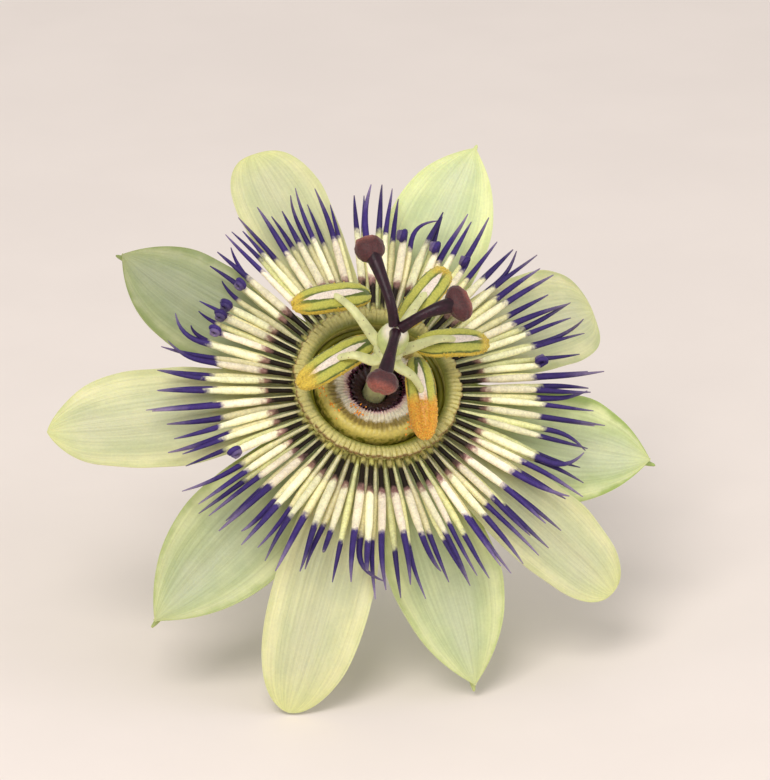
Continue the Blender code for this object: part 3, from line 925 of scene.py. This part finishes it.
def ray_line(length, slope, lean, sway, hook, roll_up, drift, phase):
    """Points along a filament's middle, each with the directions ahead and aside. It sways, and its end may
    hook sideways or roll up and drift aside as it does."""
    spot, line = Vector(), []
    for i in range(LINE_STEPS + 1):
        s = i / LINE_STEPS
        yaw = lean + sway * sin(6 * s + phase) * s + hook * smoothstep(0.66, 1, s)
        rolled = max(0.0, (s - 0.60) / 0.40)
        pitch = slope * (1 - 0.5 * s) + roll_up * rolled ** 1.3
        ahead = Vector((cos(pitch) * cos(yaw), cos(pitch) * sin(yaw), sin(pitch)))
        aside = Vector((-sin(yaw), cos(yaw), 0))
        line.append((spot.copy(), ahead, aside))
        spot += (ahead + aside * drift * min(1.0, 4 * rolled)) * (length / LINE_STEPS)
    return line


def corona_reach(angle):
    """How far the filaments reach in each direction, in mm: the upper ones are a little shorter, and those
    on one side are shorter still."""
    return 33.3 - 0.7 * sin(angle) - 5.0 * bump_at(degrees(angle), 144, 11)


def is_rolled(angle):
    """Whether the filament at this angle is one of those with a rolled-up end."""
    return any(abs((angle - radians(rolled) + pi) % tau - pi) < tau / 120 for rolled in ROLLED_RAYS)


def lay_ray(ray, angle, series, rolled, dice):
    """A copy of the straight filament, bent along its own line and turned into its place in the series."""
    copy = ray.copy()
    copy.data = ray.data.copy()
    bpy.context.scene.collection.objects.link(copy)
    root = RING_RADIUS * MM
    length = (corona_reach(angle) + dice.uniform(-1.8, 1.2)) * MM - root
    slope = series.rise * MM / length + dice.gauss(0, 0.018)
    lean, sway, phase = dice.gauss(0, 0.022), dice.gauss(0, 0.10), dice.uniform(0, tau)
    lean += 0.07 * noise.noise(Vector((9 * cos(angle), 9 * sin(angle), 3.3)))
    hook = dice.choice((-1, 1)) * dice.uniform(0.5, 1.3) if dice.random() < 0.15 else 0.0
    roll_up = dice.uniform(0.5, 1.4) if dice.random() < 0.12 else 0.0
    drift = 0.0
    if rolled:
        length, hook, roll_up, drift = ROLLED_REACH * MM - root, 0.0, 14.5, 0.13
    line = ray_line(length, slope, lean, sway, hook, roll_up, drift, phase)
    girth, own = dice.uniform(0.84, 1.12), dice.random()
    turn = Matrix.Rotation(angle, 3, "Z")
    band_shift = 0.5 + 0.3 * cos(angle) - 1.3 * sin(angle) ** 2
    skin = []
    for vert in copy.data.vertices:
        s = vert.co.x / RAY_LENGTH
        step = min(int(s * LINE_STEPS), LINE_STEPS - 1)
        (near, ahead, aside), (far, ahead_far, _) = line[step], line[step + 1]
        share = s * LINE_STEPS - step
        ahead = ahead.lerp(ahead_far, share)
        middle = near.lerp(far, share)
        spot = middle + (aside * vert.co.y + ahead.cross(aside) * vert.co.z) * girth
        skin.append((((root + s * length) / MM + band_shift) / CORONA_REACH, own, s))
        vert.co = turn @ (spot + Vector((root, 0, series.root_height * MM)))
    add_skin(copy, skin)
    return copy


def add_ring(name, profile, skin_of):
    """A closed ring round the flower's axis. Its first skin number is skin_of(the radius in mm)."""
    ring = add_turned(name, profile, 120, closed=True)
    add_skin(ring, [(skin_of(vert.co.xy.length / MM), 0.5, 0) for vert in ring.data.vertices])
    return ring


class FLOWER_OT_corona(bpy.types.Operator):
    """Models both long series of the corona, each a ring of banded filaments"""

    bl_idname = "flower.corona"
    bl_label = "Corona"

    def execute(self, context):
        sizes, colours = settings(context)
        green = colours.ray_green
        finishes = (
            ray_finish("lower_rays", colours, green, green, green),
            ray_finish("upper_rays", colours, colours.ray_dark, colours.ray_blush, colours.ray_cream),
        )
        straight = straight_ray("ray", sizes.ray_radius, RAY_SHAPE)
        to_roll = straight_ray("rolled_ray", sizes.ray_radius, ROLLED_SHAPE)
        for series, finish in zip(SERIES, finishes):
            dice = random.Random(series.seed)
            low, high = series.low, series.high
            profile = [
                (10.2, low), (11.9, low), (12.1, (low + high) / 2), (11.8, high), (11.0, high + 0.1),
                (10.3, high),
            ]
            rays = [add_ring(f"{series.node}_rays", profile, lambda radius: radius / CORONA_REACH * 0.93)]
            for i in range(sizes.rays):
                angle = tau * (i + series.phase) / sizes.rays
                rolled = series.node == "corona_inner" and is_rolled(angle)
                rays.append(lay_ray(to_roll if rolled else straight, angle, series, rolled, dice))
            settle(join(rays), series.node, slot="corona_ray", material=finish)
        bpy.data.objects.remove(straight)
        bpy.data.objects.remove(to_roll)
        return {"FINISHED"}


class FLOWER_OT_pali(bpy.types.Operator):
    """Models the ring of short knobbed filaments inside the corona"""

    bl_idname = "flower.pali"
    bl_label = "Pali"

    def execute(self, context):
        sizes, colours = settings(context)
        dice = random.Random(5)
        bed = [(10.1, 1.4), (11.9, 1.4), (12.2, 1.75), (12.0, 2.1), (11.3, 2.32), (10.7, 2.2), (10.2, 1.85)]
        pieces = [add_ring("pali_ring", bed, lambda radius: radius / 2.2 - 4.7)]
        for i in range(sizes.pali):
            angle = tau * (i + dice.uniform(-0.2, 0.2)) / sizes.pali
            start = polar(angle, 10.5 * MM, 1.7 * MM)
            aside = dice.gauss(0, 0.008)
            end = polar(angle + aside, dice.uniform(12.2, 12.6) * MM, dice.uniform(1.8, 2.2) * MM)
            knob = dice.uniform(0.9, 1.15)

            def radius(u, turn, knob=knob):
                return (0.40 + 0.05 * knob * bump_at(u, 0.88, 0.12) - 0.26 * smoothstep(0.90, 1.0, u)) * MM

            def centre(u, start=start, end=end):
                return start.lerp(end, u) + Vector((0, 0, 0.35 * MM * sin(pi * u)))

            pieces.append(add_tube(f"pali_{i}", 8, 7, centre, radius))
        finish = Finish("pali", roughness=0.45, subsurface=0.15)
        along = finish.skin()[0]
        shade = finish.mix(finish.span(along, 0.0, 0.45), colours.pali_foot, colours.pali_stem)
        shade = finish.mix(finish.span(along, 0.74, 0.95), shade, colours.pali_knob)
        shade = finish.mottle(shade, 2.4, 3, 0.85, 1.1)
        settle(join(pieces), "corona_pali", slot="pali", material=finish.done(shade))
        return {"FINISHED"}


# ---- Cup, operculum and limen ---------------------------------------------------------------------


class FLOWER_OT_cup(bpy.types.Operator):
    """Models the fleshy green cup that carries the flower"""

    bl_idname = "flower.cup"
    bl_label = "Floral cup"

    def execute(self, context):
        _, colours = settings(context)
        low = -CUP_DEPTH
        profile = [
            (0, low + 0.5), (1.2, low + 0.35), (2.0, low), (3.4, low + 0.25), (5.0, low + 0.8),
            (6.6, low + 1.8), (7.9, low + 3.1), (8.9, low + 4.6), (9.6, low + 6.2), (10.0, low + 7.8),
            (10.15, -0.6), (10.15, 0.1), (9.9, 0.42), (9.6, 0.44), (9.3, 0.2), (9.2, -1.4), (8.4, -3.0),
            (6.5, -4.5), (3.5, -5.0), (0, -5.0),
        ]

        def sculpt(point):
            radius = point.xy.length
            outside = point.z < -0.4 * MM and radius > 6 * MM or point.z < -5.5 * MM
            rib = 0.22 * MM * cos(10 * angle_round(point)) * smoothstep(1.5 * MM, 6 * MM, radius)
            return moved(point, rib if outside else 0.0)

        cup = add_turned("floral_cup_body", profile, 120, sculpt)
        finish = Finish("cup", roughness=0.48, subsurface=0.15)
        # The cup's top, round the groove inside its rim, takes the groove's painted shade.
        shade = finish.mix(finish.span(finish.height(), -1.5, -0.2), colours.cup_outside, colours.painted_groove_shade)
        shade = finish.mottle(shade, 0.5, 4, 0.84, 1.12)
        finish.roughen(2.5, 4, 0.10 * MM, 0.5)
        settle(cup, "floral_cup", slot="cup", material=finish.done(shade))
        return {"FINISHED"}


class FLOWER_OT_operculum(bpy.types.Operator):
    """Models the pleated membrane over the nectar chamber, with its fringed inner edge"""

    bl_idname = "flower.operculum"
    bl_label = "Operculum"

    def execute(self, context):
        sizes, colours = settings(context)
        profile = [
            (8.6, -1.8), (8.85, -1.2), (8.95, -0.4), (8.95, 0.4), (8.85, 1.0), (8.6, 1.5), (8.2, 1.85),
            (7.7, 2.0), (7.2, 1.95), (6.7, 1.8), (6.3, 1.75), (5.9, 1.8), (5.5, 1.85), (5.1, 1.8), (4.7, 1.6),
            (4.4, 1.3), (4.3, 1.05), (4.5, 0.85), (4.9, 1.0), (5.6, 1.2), (6.4, 1.2), (7.2, 1.35), (7.8, 1.3),
            (8.1, 0.6), (8.1, -0.6), (8.0, -1.8),
        ]

        def sculpt(point):
            radius = point.xy.length / MM
            angle = angle_round(point)
            wander = 0.5 * noise.noise(point.normalized() * 3)
            inward = smoothstep(8.9, 6.5, radius) if radius < 8.9 else 0.0
            lift = sizes.pleat_depth * cos(66 * angle + wander) * inward
            teeth = 0.55 * MM * (0.5 + 0.5 * cos(54 * angle + 2 * wander)) * smoothstep(5.4, 4.3, radius)
            drop = 0.5 * teeth + 0.35 * MM * noise.noise(point * 260) * inward
            return moved(point, -teeth, lift - drop)

        operculum = add_turned("operculum_membrane", profile, 396, sculpt, closed=True)
        finish = Finish("operculum", roughness=0.42, subsurface=0.25)
        reach = finish.wander(finish.radius(), finish.noise(finish.flower(), 1.3, 3), 0.25)
        # Beyond the shoulder the bands end in the painted shade of the cup's groove.
        bands = (  # the distance from the axis in mm, and the colour there
            (3.4, colours.fringe), (4.15, colours.fringe), (4.5, colours.operculum_blush),
            (5.2, colours.operculum_pale), (5.9, colours.operculum_pale), (6.5, colours.operculum_fold),
            (7.1, colours.operculum_fold), (7.9, colours.operculum_rim), (8.8, colours.operculum_rim),
            (9.1, colours.painted_groove_shade),
        )
        shade = finish.ramp(finish.math("DIVIDE", reach, 10.0), [(place / 10, tone) for place, tone in bands])
        shade = finish.mottle(shade, 1.8, 4, 0.86, 1.1)
        finish.roughen(3.5, 3, 0.08 * MM, 0.6)
        settle(operculum, "operculum", slot="operculum", material=finish.done(shade))
        return {"FINISHED"}


class FLOWER_OT_limen(bpy.types.Operator):
    """Models the dark collar round the column's foot"""

    bl_idname = "flower.limen"
    bl_label = "Limen"

    def execute(self, context):
        _, colours = settings(context)
        profile = [
            (3.0, -4.6), (5.2, -4.3), (5.0, -3.4), (4.3, -2.2), (3.8, -1.0), (3.6, 0.1), (3.7, 0.6),
            (3.4, 0.7), (3.0, 0.3), (2.5, 0.0), (2.0, -0.4), (2.0, -2.0), (2.3, -3.5),
        ]

        def sculpt(point):
            wave = cos(24 * angle_round(point) + 2 * noise.noise(point * 300))
            frill = 0.22 * MM * wave * smoothstep(-1.0, 0.6, point.z / MM)
            return moved(point, frill, 0.5 * frill)

        limen = add_turned("limen_collar", profile, 144, sculpt, closed=True)
        finish = Finish("limen", roughness=0.34, specular=0.6)
        shade = finish.mottle(colours.limen, 1.6, 4, 0.6, 1.7)
        finish.roughen(3.0, 4, 0.12 * MM, 0.7)
        settle(limen, "limen", slot="pali", material=finish.done(shade))
        return {"FINISHED"}


# ---- Column, stamens and pollen -------------------------------------------------------------------


def green_organ_finish(name, colours):
    """Smooth, slightly waxy green with scattered purple spots."""
    finish = Finish(name, roughness=0.36, subsurface=0.3, specular=0.55)
    spots = finish.math("MULTIPLY", finish.spots(finish.flower(), 1.5, 0.16), 0.55)
    shade = finish.mix(spots, colours.column, colours.column_spot)
    shade = finish.mottle(shade, 0.7, 3, 0.86, 1.1)
    finish.roughen(3.0, 3, 0.06 * MM, 0.5)
    return finish.done(shade)


class FLOWER_OT_column(bpy.types.Operator):
    """Models the column that carries the stamens and the ovary"""

    bl_idname = "flower.column"
    bl_label = "Column"

    def execute(self, context):
        _, colours = settings(context)
        profile = [
            (0, -4.9), (2.4, -4.9), (2.3, -4.0), (1.9, -2.6), (1.7, -0.8), (1.6, 1.5), (1.55, 4.0),
            (1.6, 6.5), (1.7, 8.5), (1.85, 10.0), (2.05, 11.0), (2.1, 11.7), (1.9, 12.2), (1.4, 12.5),
            (0, 12.6),
        ]

        def sculpt(point):
            angle = angle_round(point)
            flute = max(cos(angle - radians(stamen.angle)) ** 9 for stamen in STAMENS)
            flute *= 0.16 * MM * smoothstep(6 * MM, 11.5 * MM, point.z)
            return moved(point, flute + 0.04 * MM * cos(5 * angle))

        column = add_turned("column_stem", profile, 60, sculpt)
        settle(column, "androgynophore", slot="column", material=green_organ_finish("column", colours))
        return {"FINISHED"}


def anther_pose(stamen):
    """The anther's place and turn in the flower's frame: its X runs outwards along it, its Z is its back."""
    along = (stamen.outer - stamen.inner).normalized()
    across = Vector((0, 0, 1)).cross(along).normalized()
    turn = Matrix((along, across, along.cross(across))).transposed().to_4x4()
    return Matrix.Translation(stamen.inner.lerp(stamen.outer, 0.5) * MM) @ turn


class FLOWER_OT_stamens(bpy.types.Operator):
    """Models the strap-like filaments that carry the anthers"""

    bl_idname = "flower.stamens"
    bl_label = "Stamen filaments"

    def execute(self, context):
        sizes, colours = settings(context)
        finish = green_organ_finish("stamen_filament", colours)

        def radius(u, turn):
            return (0.95 - 0.38 * smoothstep(0.15, 0.9, u) - 0.2 * smoothstep(0.9, 1, u)) * MM

        for i, stamen in enumerate(STAMENS):
            angle = radians(stamen.angle)
            end = anther_pose(stamen) @ Vector((0, 0, sizes.anther_thickness / 2 - 0.1 * MM))
            start = polar(angle, 1.2 * MM, (COLUMN_TOP - 0.9) * MM)
            shoulder = polar(angle, 3.0 * MM, (COLUMN_TOP - 0.5) * MM)
            crest = shoulder.lerp(end, 0.55) + Vector((0, 0, 1.1 * MM))
            path = curve([start, shoulder, crest, end])
            strap = add_tube(f"stamen_strap_{i + 1}", 30, 16, path, radius, squash=0.62)
            settle(strap, f"stamen_filament_{i + 1}", slot="column", material=finish)
        return {"FINISHED"}


def anther_point(length, width, thickness, point):
    """Two long lobes side by side, with a raised band between them on the back, a furrow along each side of
    it and another along each edge. Both ends droop."""
    t = point.z
    girth = hypot(point.x, point.y)
    y, z = (point.x / girth, point.y / girth) if girth > 1e-6 else (0.0, 0.0)
    full = max(0.0, 1 - abs(t) ** 3.2) ** 0.5
    furrow = 0.16 * bump_at(abs(y), 0.36, 0.11) if z > 0 else 0.30 * bump_at(y, 0, 0.22)
    swell = full * (1 - furrow - 0.10 * bump_at(abs(y), 0.97, 0.05) + 0.03 * bump_at(abs(y), 0.7, 0.2))
    notch = 1 - 0.05 * bump_at(y, 0, 0.3) * smoothstep(0.6, 1, abs(t))
    return Vector((
        length / 2 * t * notch,
        width / 2 * y * swell,
        thickness / 2 * z * swell - 0.7 * MM * t * t + 0.15 * MM,
    ))


def anther_finish(name, colours, pollen):
    """Yellow-green lobes with dark furrows, a cream band along the back, and pollen at the edges. skin
    carries the band, the dust and the distance round from the middle of the back."""
    finish = Finish(name, roughness=0.6, subsurface=0.15, sheen=0.2)
    band, dust, around = finish.skin()
    grain = finish.noise(finish.flower(), 4.0, 4, 0.7)
    stops = (
        (0.10, colours.anther_line), (0.17, colours.anther_line), (0.22, colours.anther_lobe),
        (0.38, colours.anther_lobe), (0.42, colours.anther_line), (0.45, colours.anther_line),
        (0.47, colours.pollen_light), (0.53, colours.pollen_light), (0.58, colours.anther_under),
    )
    shade = finish.ramp(finish.wander(around, finish.noise(finish.flower(), 0.9, 3), 0.02), stops)
    shade = finish.mix(finish.span(band, 0.35, 0.65), shade, colours.anther_back)
    dusty = finish.mix(finish.span(grain, 0.4, 0.6), pollen, colours.pollen_light)
    dusty = finish.mix(0.65, dusty, pollen)
    shade = finish.mix(finish.math("MULTIPLY", dust, 0.92), shade, dusty)
    shade = finish.tint(shade, grain, 0.80, 1.14)
    finish.bump(grain, 0.12 * MM, 0.9)
    return finish.done(shade)


def scatter_grains(name, spots, radius, dice):
    """A clump of pollen at each of these points, as one piece: one rough ball, copied."""
    deselect_all()
    bpy.ops.mesh.primitive_ico_sphere_add(subdivisions=1, radius=1)
    ball = named(name)
    mesh = bpy.data.meshes.new(name)
    grains = bmesh.new()
    for spot in spots:
        girth = radius * dice.uniform(0.55, 1.15)
        before = len(grains.verts)
        grains.from_mesh(ball.data)
        grains.verts.ensure_lookup_table()
        for vert in grains.verts[before:]:
            vert.co = spot + vert.co * girth * dice.uniform(0.85, 1.15)
    grains.to_mesh(mesh)
    grains.free()
    ball.data = mesh
    return ball


def anther_wear(skin, stamen, seed):
    """Turns the unit ball's points into what the anther's finish reads: band, dust and distance round."""
    worn = []
    for x, y, t in skin:
        side = x / max(hypot(x, y), 1e-6)
        patch = 0.18 * noise.noise(Vector((side * 3, t * 4, seed)))
        dusty = smoothstep(1 - 2 * stamen.dust - 0.22, 1 - 2 * stamen.dust + 0.12, t + patch)
        taper = 0.30 * max(0.0, 1 - (t / 0.78) ** 2)
        band = smoothstep(taper + 0.06, taper - 0.06, abs(side)) if y > 0 and taper > 0 else 0.0
        worn.append((band, dusty, (abs(side) if y > 0 else 2 - abs(side)) / 2))
    return worn


def grain_spots(stamen, place, dice):
    """Where the pollen sits: along both edges, and thickly over the dusty end of a ripe anther's back."""
    ripe = stamen.dust > RIPE
    spots = []
    while len(spots) < stamen.grains:
        t = dice.uniform(-0.96, 0.98)
        edge = dice.choice((-1, 1)) * (1 - abs(dice.gauss(0, 0.06)))
        if dice.random() < (0.75 if ripe else 0.25):
            t = dice.uniform(1 - 2 * stamen.dust, 0.99)
            edge = dice.uniform(-1, 1)
        side = 1 if ripe else dice.choice((-1, 1))
        ring = sqrt(max(0.0, 1 - t * t))
        spots.append(place(Vector((edge * ring, side * sqrt(max(0.0, 1 - edge * edge)) * ring, t))))
    return spots


class FLOWER_OT_anthers(bpy.types.Operator):
    """Models the five two-lobed anthers with pollen along their edges"""

    bl_idname = "flower.anthers"
    bl_label = "Anthers"

    def execute(self, context):
        sizes, colours = settings(context)
        ripe = anther_finish("ripe_anther", colours, colours.pollen)
        fresh = anther_finish("fresh_anther", colours, colours.pollen_fresh)
        for i, stamen in enumerate(STAMENS):
            dice = random.Random(60 + i)
            length = (stamen.outer - stamen.inner).length * MM

            def place(point, length=length):
                return anther_point(length, sizes.anther_width, sizes.anther_thickness, point)

            lobes = add_ball(f"anther_{i + 1}_lobes", 64, 40, place)
            add_skin(lobes, anther_wear(read_skin(lobes), stamen, i * 3.7))
            grains = scatter_grains("grains", grain_spots(stamen, place, dice), sizes.grain_radius, dice)
            add_skin(grains, [(0.0, dice.uniform(0.35, 1.1), 0.5) for _ in grains.data.vertices])
            anther = join([lobes, grains])
            anther.data.transform(anther_pose(stamen))
            finish = ripe if stamen.dust > RIPE else fresh
            settle(anther, f"anther_{i + 1}", slot="anther", material=finish)
        return {"FINISHED"}


class FLOWER_OT_fallen_pollen(bpy.types.Operator):
    """Scatters the pollen that has fallen on the operculum"""

    bl_idname = "flower.fallen_pollen"
    bl_label = "Fallen pollen"

    def execute(self, context):
        sizes, colours = settings(context)
        dice = random.Random(77)
        spots = []
        for angle, reach, grains in POLLEN_HEAPS:
            for _ in range(grains):
                there = radians(angle + dice.gauss(0, 7))
                spots.append(polar(there, (reach + dice.gauss(0, 0.45)) * MM, 2.0 * MM))
        pollen = scatter_grains("fallen_pollen", spots, sizes.grain_radius, dice)
        finish = Finish("fallen_pollen", roughness=0.75, sheen=0.2)
        shade = finish.mottle(colours.pollen, 3.0, 3, 0.95, 1.3)
        finish.roughen(12.0, 3, 0.05 * MM)
        settle(pollen, slot="anther", material=finish.done(shade))
        return {"FINISHED"}


# ---- Ovary, styles and stigmas --------------------------------------------------------------------


class FLOWER_OT_ovary(bpy.types.Operator):
    """Models the three-furrowed ovary"""

    bl_idname = "flower.ovary"
    bl_label = "Ovary"

    def execute(self, context):
        _, colours = settings(context)
        middle = COLUMN_TOP + 0.3 + OVARY_HALF_HEIGHT

        def place(point):
            furrow = 1 - 0.05 * (0.5 + 0.5 * cos(3 * (angle_round(point) - radians(40)))) ** 3
            width = OVARY_RADIUS * furrow * (1.05 - 0.12 * point.z)
            crown = 0.25 * smoothstep(0.85, 1.0, point.z)
            rise = middle + point.z * (OVARY_HALF_HEIGHT + 0.2) - crown
            return Vector((point.x * width, point.y * width, rise)) * MM

        ovary = add_ball("ovary_body", 48, 32, place)
        finish = Finish("ovary", roughness=0.4, subsurface=0.35)
        top = finish.span(finish.height(), middle + 0.9, middle + 2.6)
        shade = finish.mix(top, colours.ovary, colours.ovary_top)
        shade = finish.mottle(shade, 0.9, 3, 0.88, 1.08)
        finish.roughen(3.5, 4, 0.06 * MM, 0.6)
        settle(ovary, "ovary", slot="ovary", material=finish.done(shade))
        return {"FINISHED"}


def style_path(style):
    """Where a style starts, bends and ends."""
    top = (COLUMN_TOP + 0.3 + 2 * OVARY_HALF_HEIGHT) * MM
    angle = radians(style.angle)
    knob = polar(angle, style.reach * MM, style.height * MM)
    start = polar(angle, 0.7 * MM, top - 0.3 * MM)
    bend = polar(angle, 3.4 * MM, top + 1.9 * MM)
    swell = polar(angle, (style.reach - 3.4) * MM, knob.z + 0.15 * MM)
    return [start, bend, swell, knob]


class FLOWER_OT_styles(bpy.types.Operator):
    """Models the three dark club-shaped styles"""

    bl_idname = "flower.styles"
    bl_label = "Styles"

    def execute(self, context):
        _, colours = settings(context)
        finish = Finish("style", roughness=0.4, specular=0.3)
        flecks = finish.math("MULTIPLY", finish.spots(finish.flower(), 2.2, 0.13), 0.5)
        shade = finish.mix(flecks, colours.style, colours.style_fleck)
        shade = finish.mottle(shade, 1.2, 3, 0.7, 1.5)
        finish.roughen(3.5, 3, 0.07 * MM, 0.6)
        material = finish.done(shade)

        def radius(u, turn):
            return (0.74 + 0.12 * bump_at(u, 0, 0.15) + 0.44 * smoothstep(0.35, 0.95, u)) * MM

        for i, style in enumerate(STYLES):
            club = add_tube(f"style_{i + 1}_club", 40, 20, curve(style_path(style)), radius)
            settle(club, f"style_{i + 1}", slot="style", material=material)
        return {"FINISHED"}


class FLOWER_OT_stigmas(bpy.types.Operator):
    """Models the three kidney-shaped stigmas"""

    bl_idname = "flower.stigmas"
    bl_label = "Stigmas"

    def execute(self, context):
        sizes, colours = settings(context)
        finish = Finish("stigma", roughness=0.5, subsurface=0.1, sheen=0.15)
        papillae = finish.noise(finish.flower(), 3.2, 3, 0.6)
        face = finish.span(finish.skin()[2], 0.1, 0.8, 0.0, 0.8)
        shade = finish.mix(face, colours.stigma, colours.stigma_face)
        shade = finish.tint(shade, papillae, 0.7, 1.35)
        finish.bump(papillae, 0.16 * MM, 0.9)
        material = finish.done(shade)
        for i, style in enumerate(STYLES):
            *_, swell, knob = style_path(style)
            turn = (knob - swell).normalized().to_track_quat("Z", "Y").to_matrix()

            def place(point, seed=i, broad=style.broad * MM, deep=style.deep * MM):
                cleft = 1 - 0.15 * (0.5 - 0.5 * cos(2 * angle_round(point))) ** 3
                lumps = 1 + 0.07 * noise.noise(point * 3.1 + Vector((seed, 0, 0)))
                lumps += 0.03 * noise.noise(point * 9)
                dent = 0.22 * bump_at(point.xy.length, 0, 0.4) * (point.z > 0)
                return Vector((
                    point.x * broad / 2,
                    point.y * sizes.stigma_narrow / 2 * cleft,
                    (point.z - dent) * deep / 2,
                )) * lumps

            stigma = add_ball(f"stigma_{i + 1}_knob", 48, 32, place)
            stigma.data.transform(Matrix.Translation(knob) @ turn.to_4x4())
            settle(stigma, f"stigma_{i + 1}", slot="stigma", material=material)
        return {"FINISHED"}


# ---- Stalk ----------------------------------------------------------------------------------------


class FLOWER_OT_stalk(bpy.types.Operator):
    """Models the ribbed stalk from the cup to its cut end"""

    bl_idname = "flower.stalk"
    bl_label = "Stalk"

    def execute(self, context):
        sizes, colours = settings(context)
        away = -(FLOWER_FRAME.to_3x3() @ Vector((0, 0, 1)))
        top = FLOWER_FRAME @ Vector((0, 0, (0.5 - CUP_DEPTH) * MM))
        node = FLOWER_FRAME @ Vector((0, 0, BRACT_NODE * MM))
        middle = node + away * 17.0 * MM + Vector((0.6, 1.0, 0.0)) * MM
        end = Vector((HEAD_CENTRE.x + 4.3 * MM, HEAD_CENTRE.y + 41.5 * MM, 1.25 * MM))

        def radius(u, turn):
            girth = 1.45 + 0.35 * bump_at(u, 1 / 3, 0.05) + 0.45 * smoothstep(0.12, 0.0, u)
            rib = sizes.stalk_rib / MM * (cos(5 * turn + 1.5 * u) + 0.5 * cos(11 * turn))
            return (girth + rib + 0.05 * noise.noise(Vector((u * 14, cos(turn), sin(turn))))) * MM

        path = curve([top, node, middle, end])
        stalk = add_tube("stalk_stem", 90, 30, path, radius, reference=Vector((1, 0, 0)))
        finish = Finish("stalk", roughness=0.44, subsurface=0.12)
        along = finish.skin()[0]
        streak = finish.noise(finish.stretched(finish.skin_vector(), (6, 1, 1)), 5.0, 3)
        shade = finish.mix(finish.span(streak, 0.35, 0.65), colours.stalk, colours.stalk_shade)
        shade = finish.mottle(shade, 1.0, 4, 0.88, 1.12)
        shade = finish.mix(finish.span(along, 0.994, 0.999), shade, colours.pith)
        finish.roughen(2.5, 4, 0.08 * MM, 0.6)
        settle(stalk, "stalk", slot="stalk", material=finish.done(shade), in_flower=False)
        return {"FINISHED"}


# ---- Stage ----------------------------------------------------------------------------------------

CAMERA_AZIMUTH = radians(-15)
CAMERA_ELEVATION = radians(22)
AIM_ASIDE = 1.4 * MM  # how far right of the flower's middle the camera looks
SENSOR_WIDTH = 36


def add_lamp(name, place, aim, energy, width, tone):
    deselect_all()
    bpy.ops.object.light_add(type="AREA", location=place)
    lamp = bpy.context.object
    lamp.name = name
    lamp.data.energy = energy
    lamp.data.size = width
    lamp.data.color = tone
    lamp.rotation_euler = (Vector(place) - aim).to_track_quat("Z", "Y").to_euler()


class FLOWER_OT_stage(bpy.types.Operator):
    """Sets up the floor, the soft light and the camera"""

    bl_idname = "flower.stage"
    bl_label = "Stage"

    def execute(self, context):
        sizes, colours = settings(context)
        deselect_all()
        bpy.ops.mesh.primitive_plane_add(size=6)
        floor = named("floor")
        finish = Finish("floor", roughness=0.8, specular=0.2)
        coordinates = finish.node("ShaderNodeTexCoord").outputs["Object"]
        shade = finish.tint(colours.floor, finish.noise(coordinates, 30, 3), 0.985, 1.01)
        floor.data.materials.append(finish.done(shade))

        scene = context.scene
        scene.view_settings.view_transform = "Standard"
        world = scene.world or bpy.data.worlds.new("world")
        scene.world = world
        world.use_nodes = True
        sky = world.node_tree.nodes["Background"]
        sky.inputs["Color"].default_value = (1.0, 0.985, 0.97, 1.0)
        sky.inputs["Strength"].default_value = 0.62
        add_lamp("key", (-0.35, -0.55, 0.75), HEAD_CENTRE, 5.2, 0.45, (1.0, 0.97, 0.93))
        add_lamp("fill", (0.7, -0.5, 0.35), HEAD_CENTRE, 1.6, 0.6, (0.95, 0.97, 1.0))

        azimuth, elevation = CAMERA_AZIMUTH, CAMERA_ELEVATION
        back = Vector((sin(azimuth) * cos(elevation), -cos(azimuth) * cos(elevation), sin(elevation)))
        right = Vector((cos(azimuth), sin(azimuth), 0))
        aim = HEAD_CENTRE + right * AIM_ASIDE
        bpy.ops.object.camera_add(location=aim + back * sizes.view_distance)
        camera = bpy.context.object
        camera.rotation_euler = back.to_track_quat("Z", "Y").to_euler()
        camera.data.sensor_width = SENSOR_WIDTH
        camera.data.lens = SENSOR_WIDTH * sizes.view_distance / sizes.view_width
        camera.data.clip_start = 0.01
        scene.camera = camera
        return {"FINISHED"}


# ---- Panel and registration -----------------------------------------------------------------------

MAKERS = (
    FLOWER_OT_stage, FLOWER_OT_sepals, FLOWER_OT_petals, FLOWER_OT_bracts, FLOWER_OT_cup, FLOWER_OT_corona,
    FLOWER_OT_pali, FLOWER_OT_operculum, FLOWER_OT_limen, FLOWER_OT_column, FLOWER_OT_stamens,
    FLOWER_OT_anthers, FLOWER_OT_fallen_pollen, FLOWER_OT_ovary, FLOWER_OT_styles, FLOWER_OT_stigmas,
    FLOWER_OT_stalk,
)


class FLOWER_PT_panel(bpy.types.Panel):
    """Lists the flower's organs"""

    bl_idname = "FLOWER_PT_panel"
    bl_label = "Passion Flower"
    bl_space_type = "VIEW_3D"
    bl_region_type = "UI"
    bl_category = "Flower"

    def draw(self, context):
        for maker in MAKERS:
            self.layout.operator(maker.bl_idname)


CLASSES = (FlowerSizes, FlowerColours, *MAKERS, FLOWER_PT_panel)


def register():
    for cls in CLASSES:
        bpy.utils.register_class(cls)
    bpy.types.Scene.flower_sizes = PointerProperty(type=FlowerSizes)
    bpy.types.Scene.flower_colours = PointerProperty(type=FlowerColours)


def unregister():
    del bpy.types.Scene.flower_colours
    del bpy.types.Scene.flower_sizes
    for cls in reversed(CLASSES):
        bpy.utils.unregister_class(cls)


def main():
    register()
    for maker in MAKERS:
        group, name = maker.bl_idname.split(".")
        getattr(getattr(bpy.ops, group), name)()


if __name__ == "__main__":
    main()
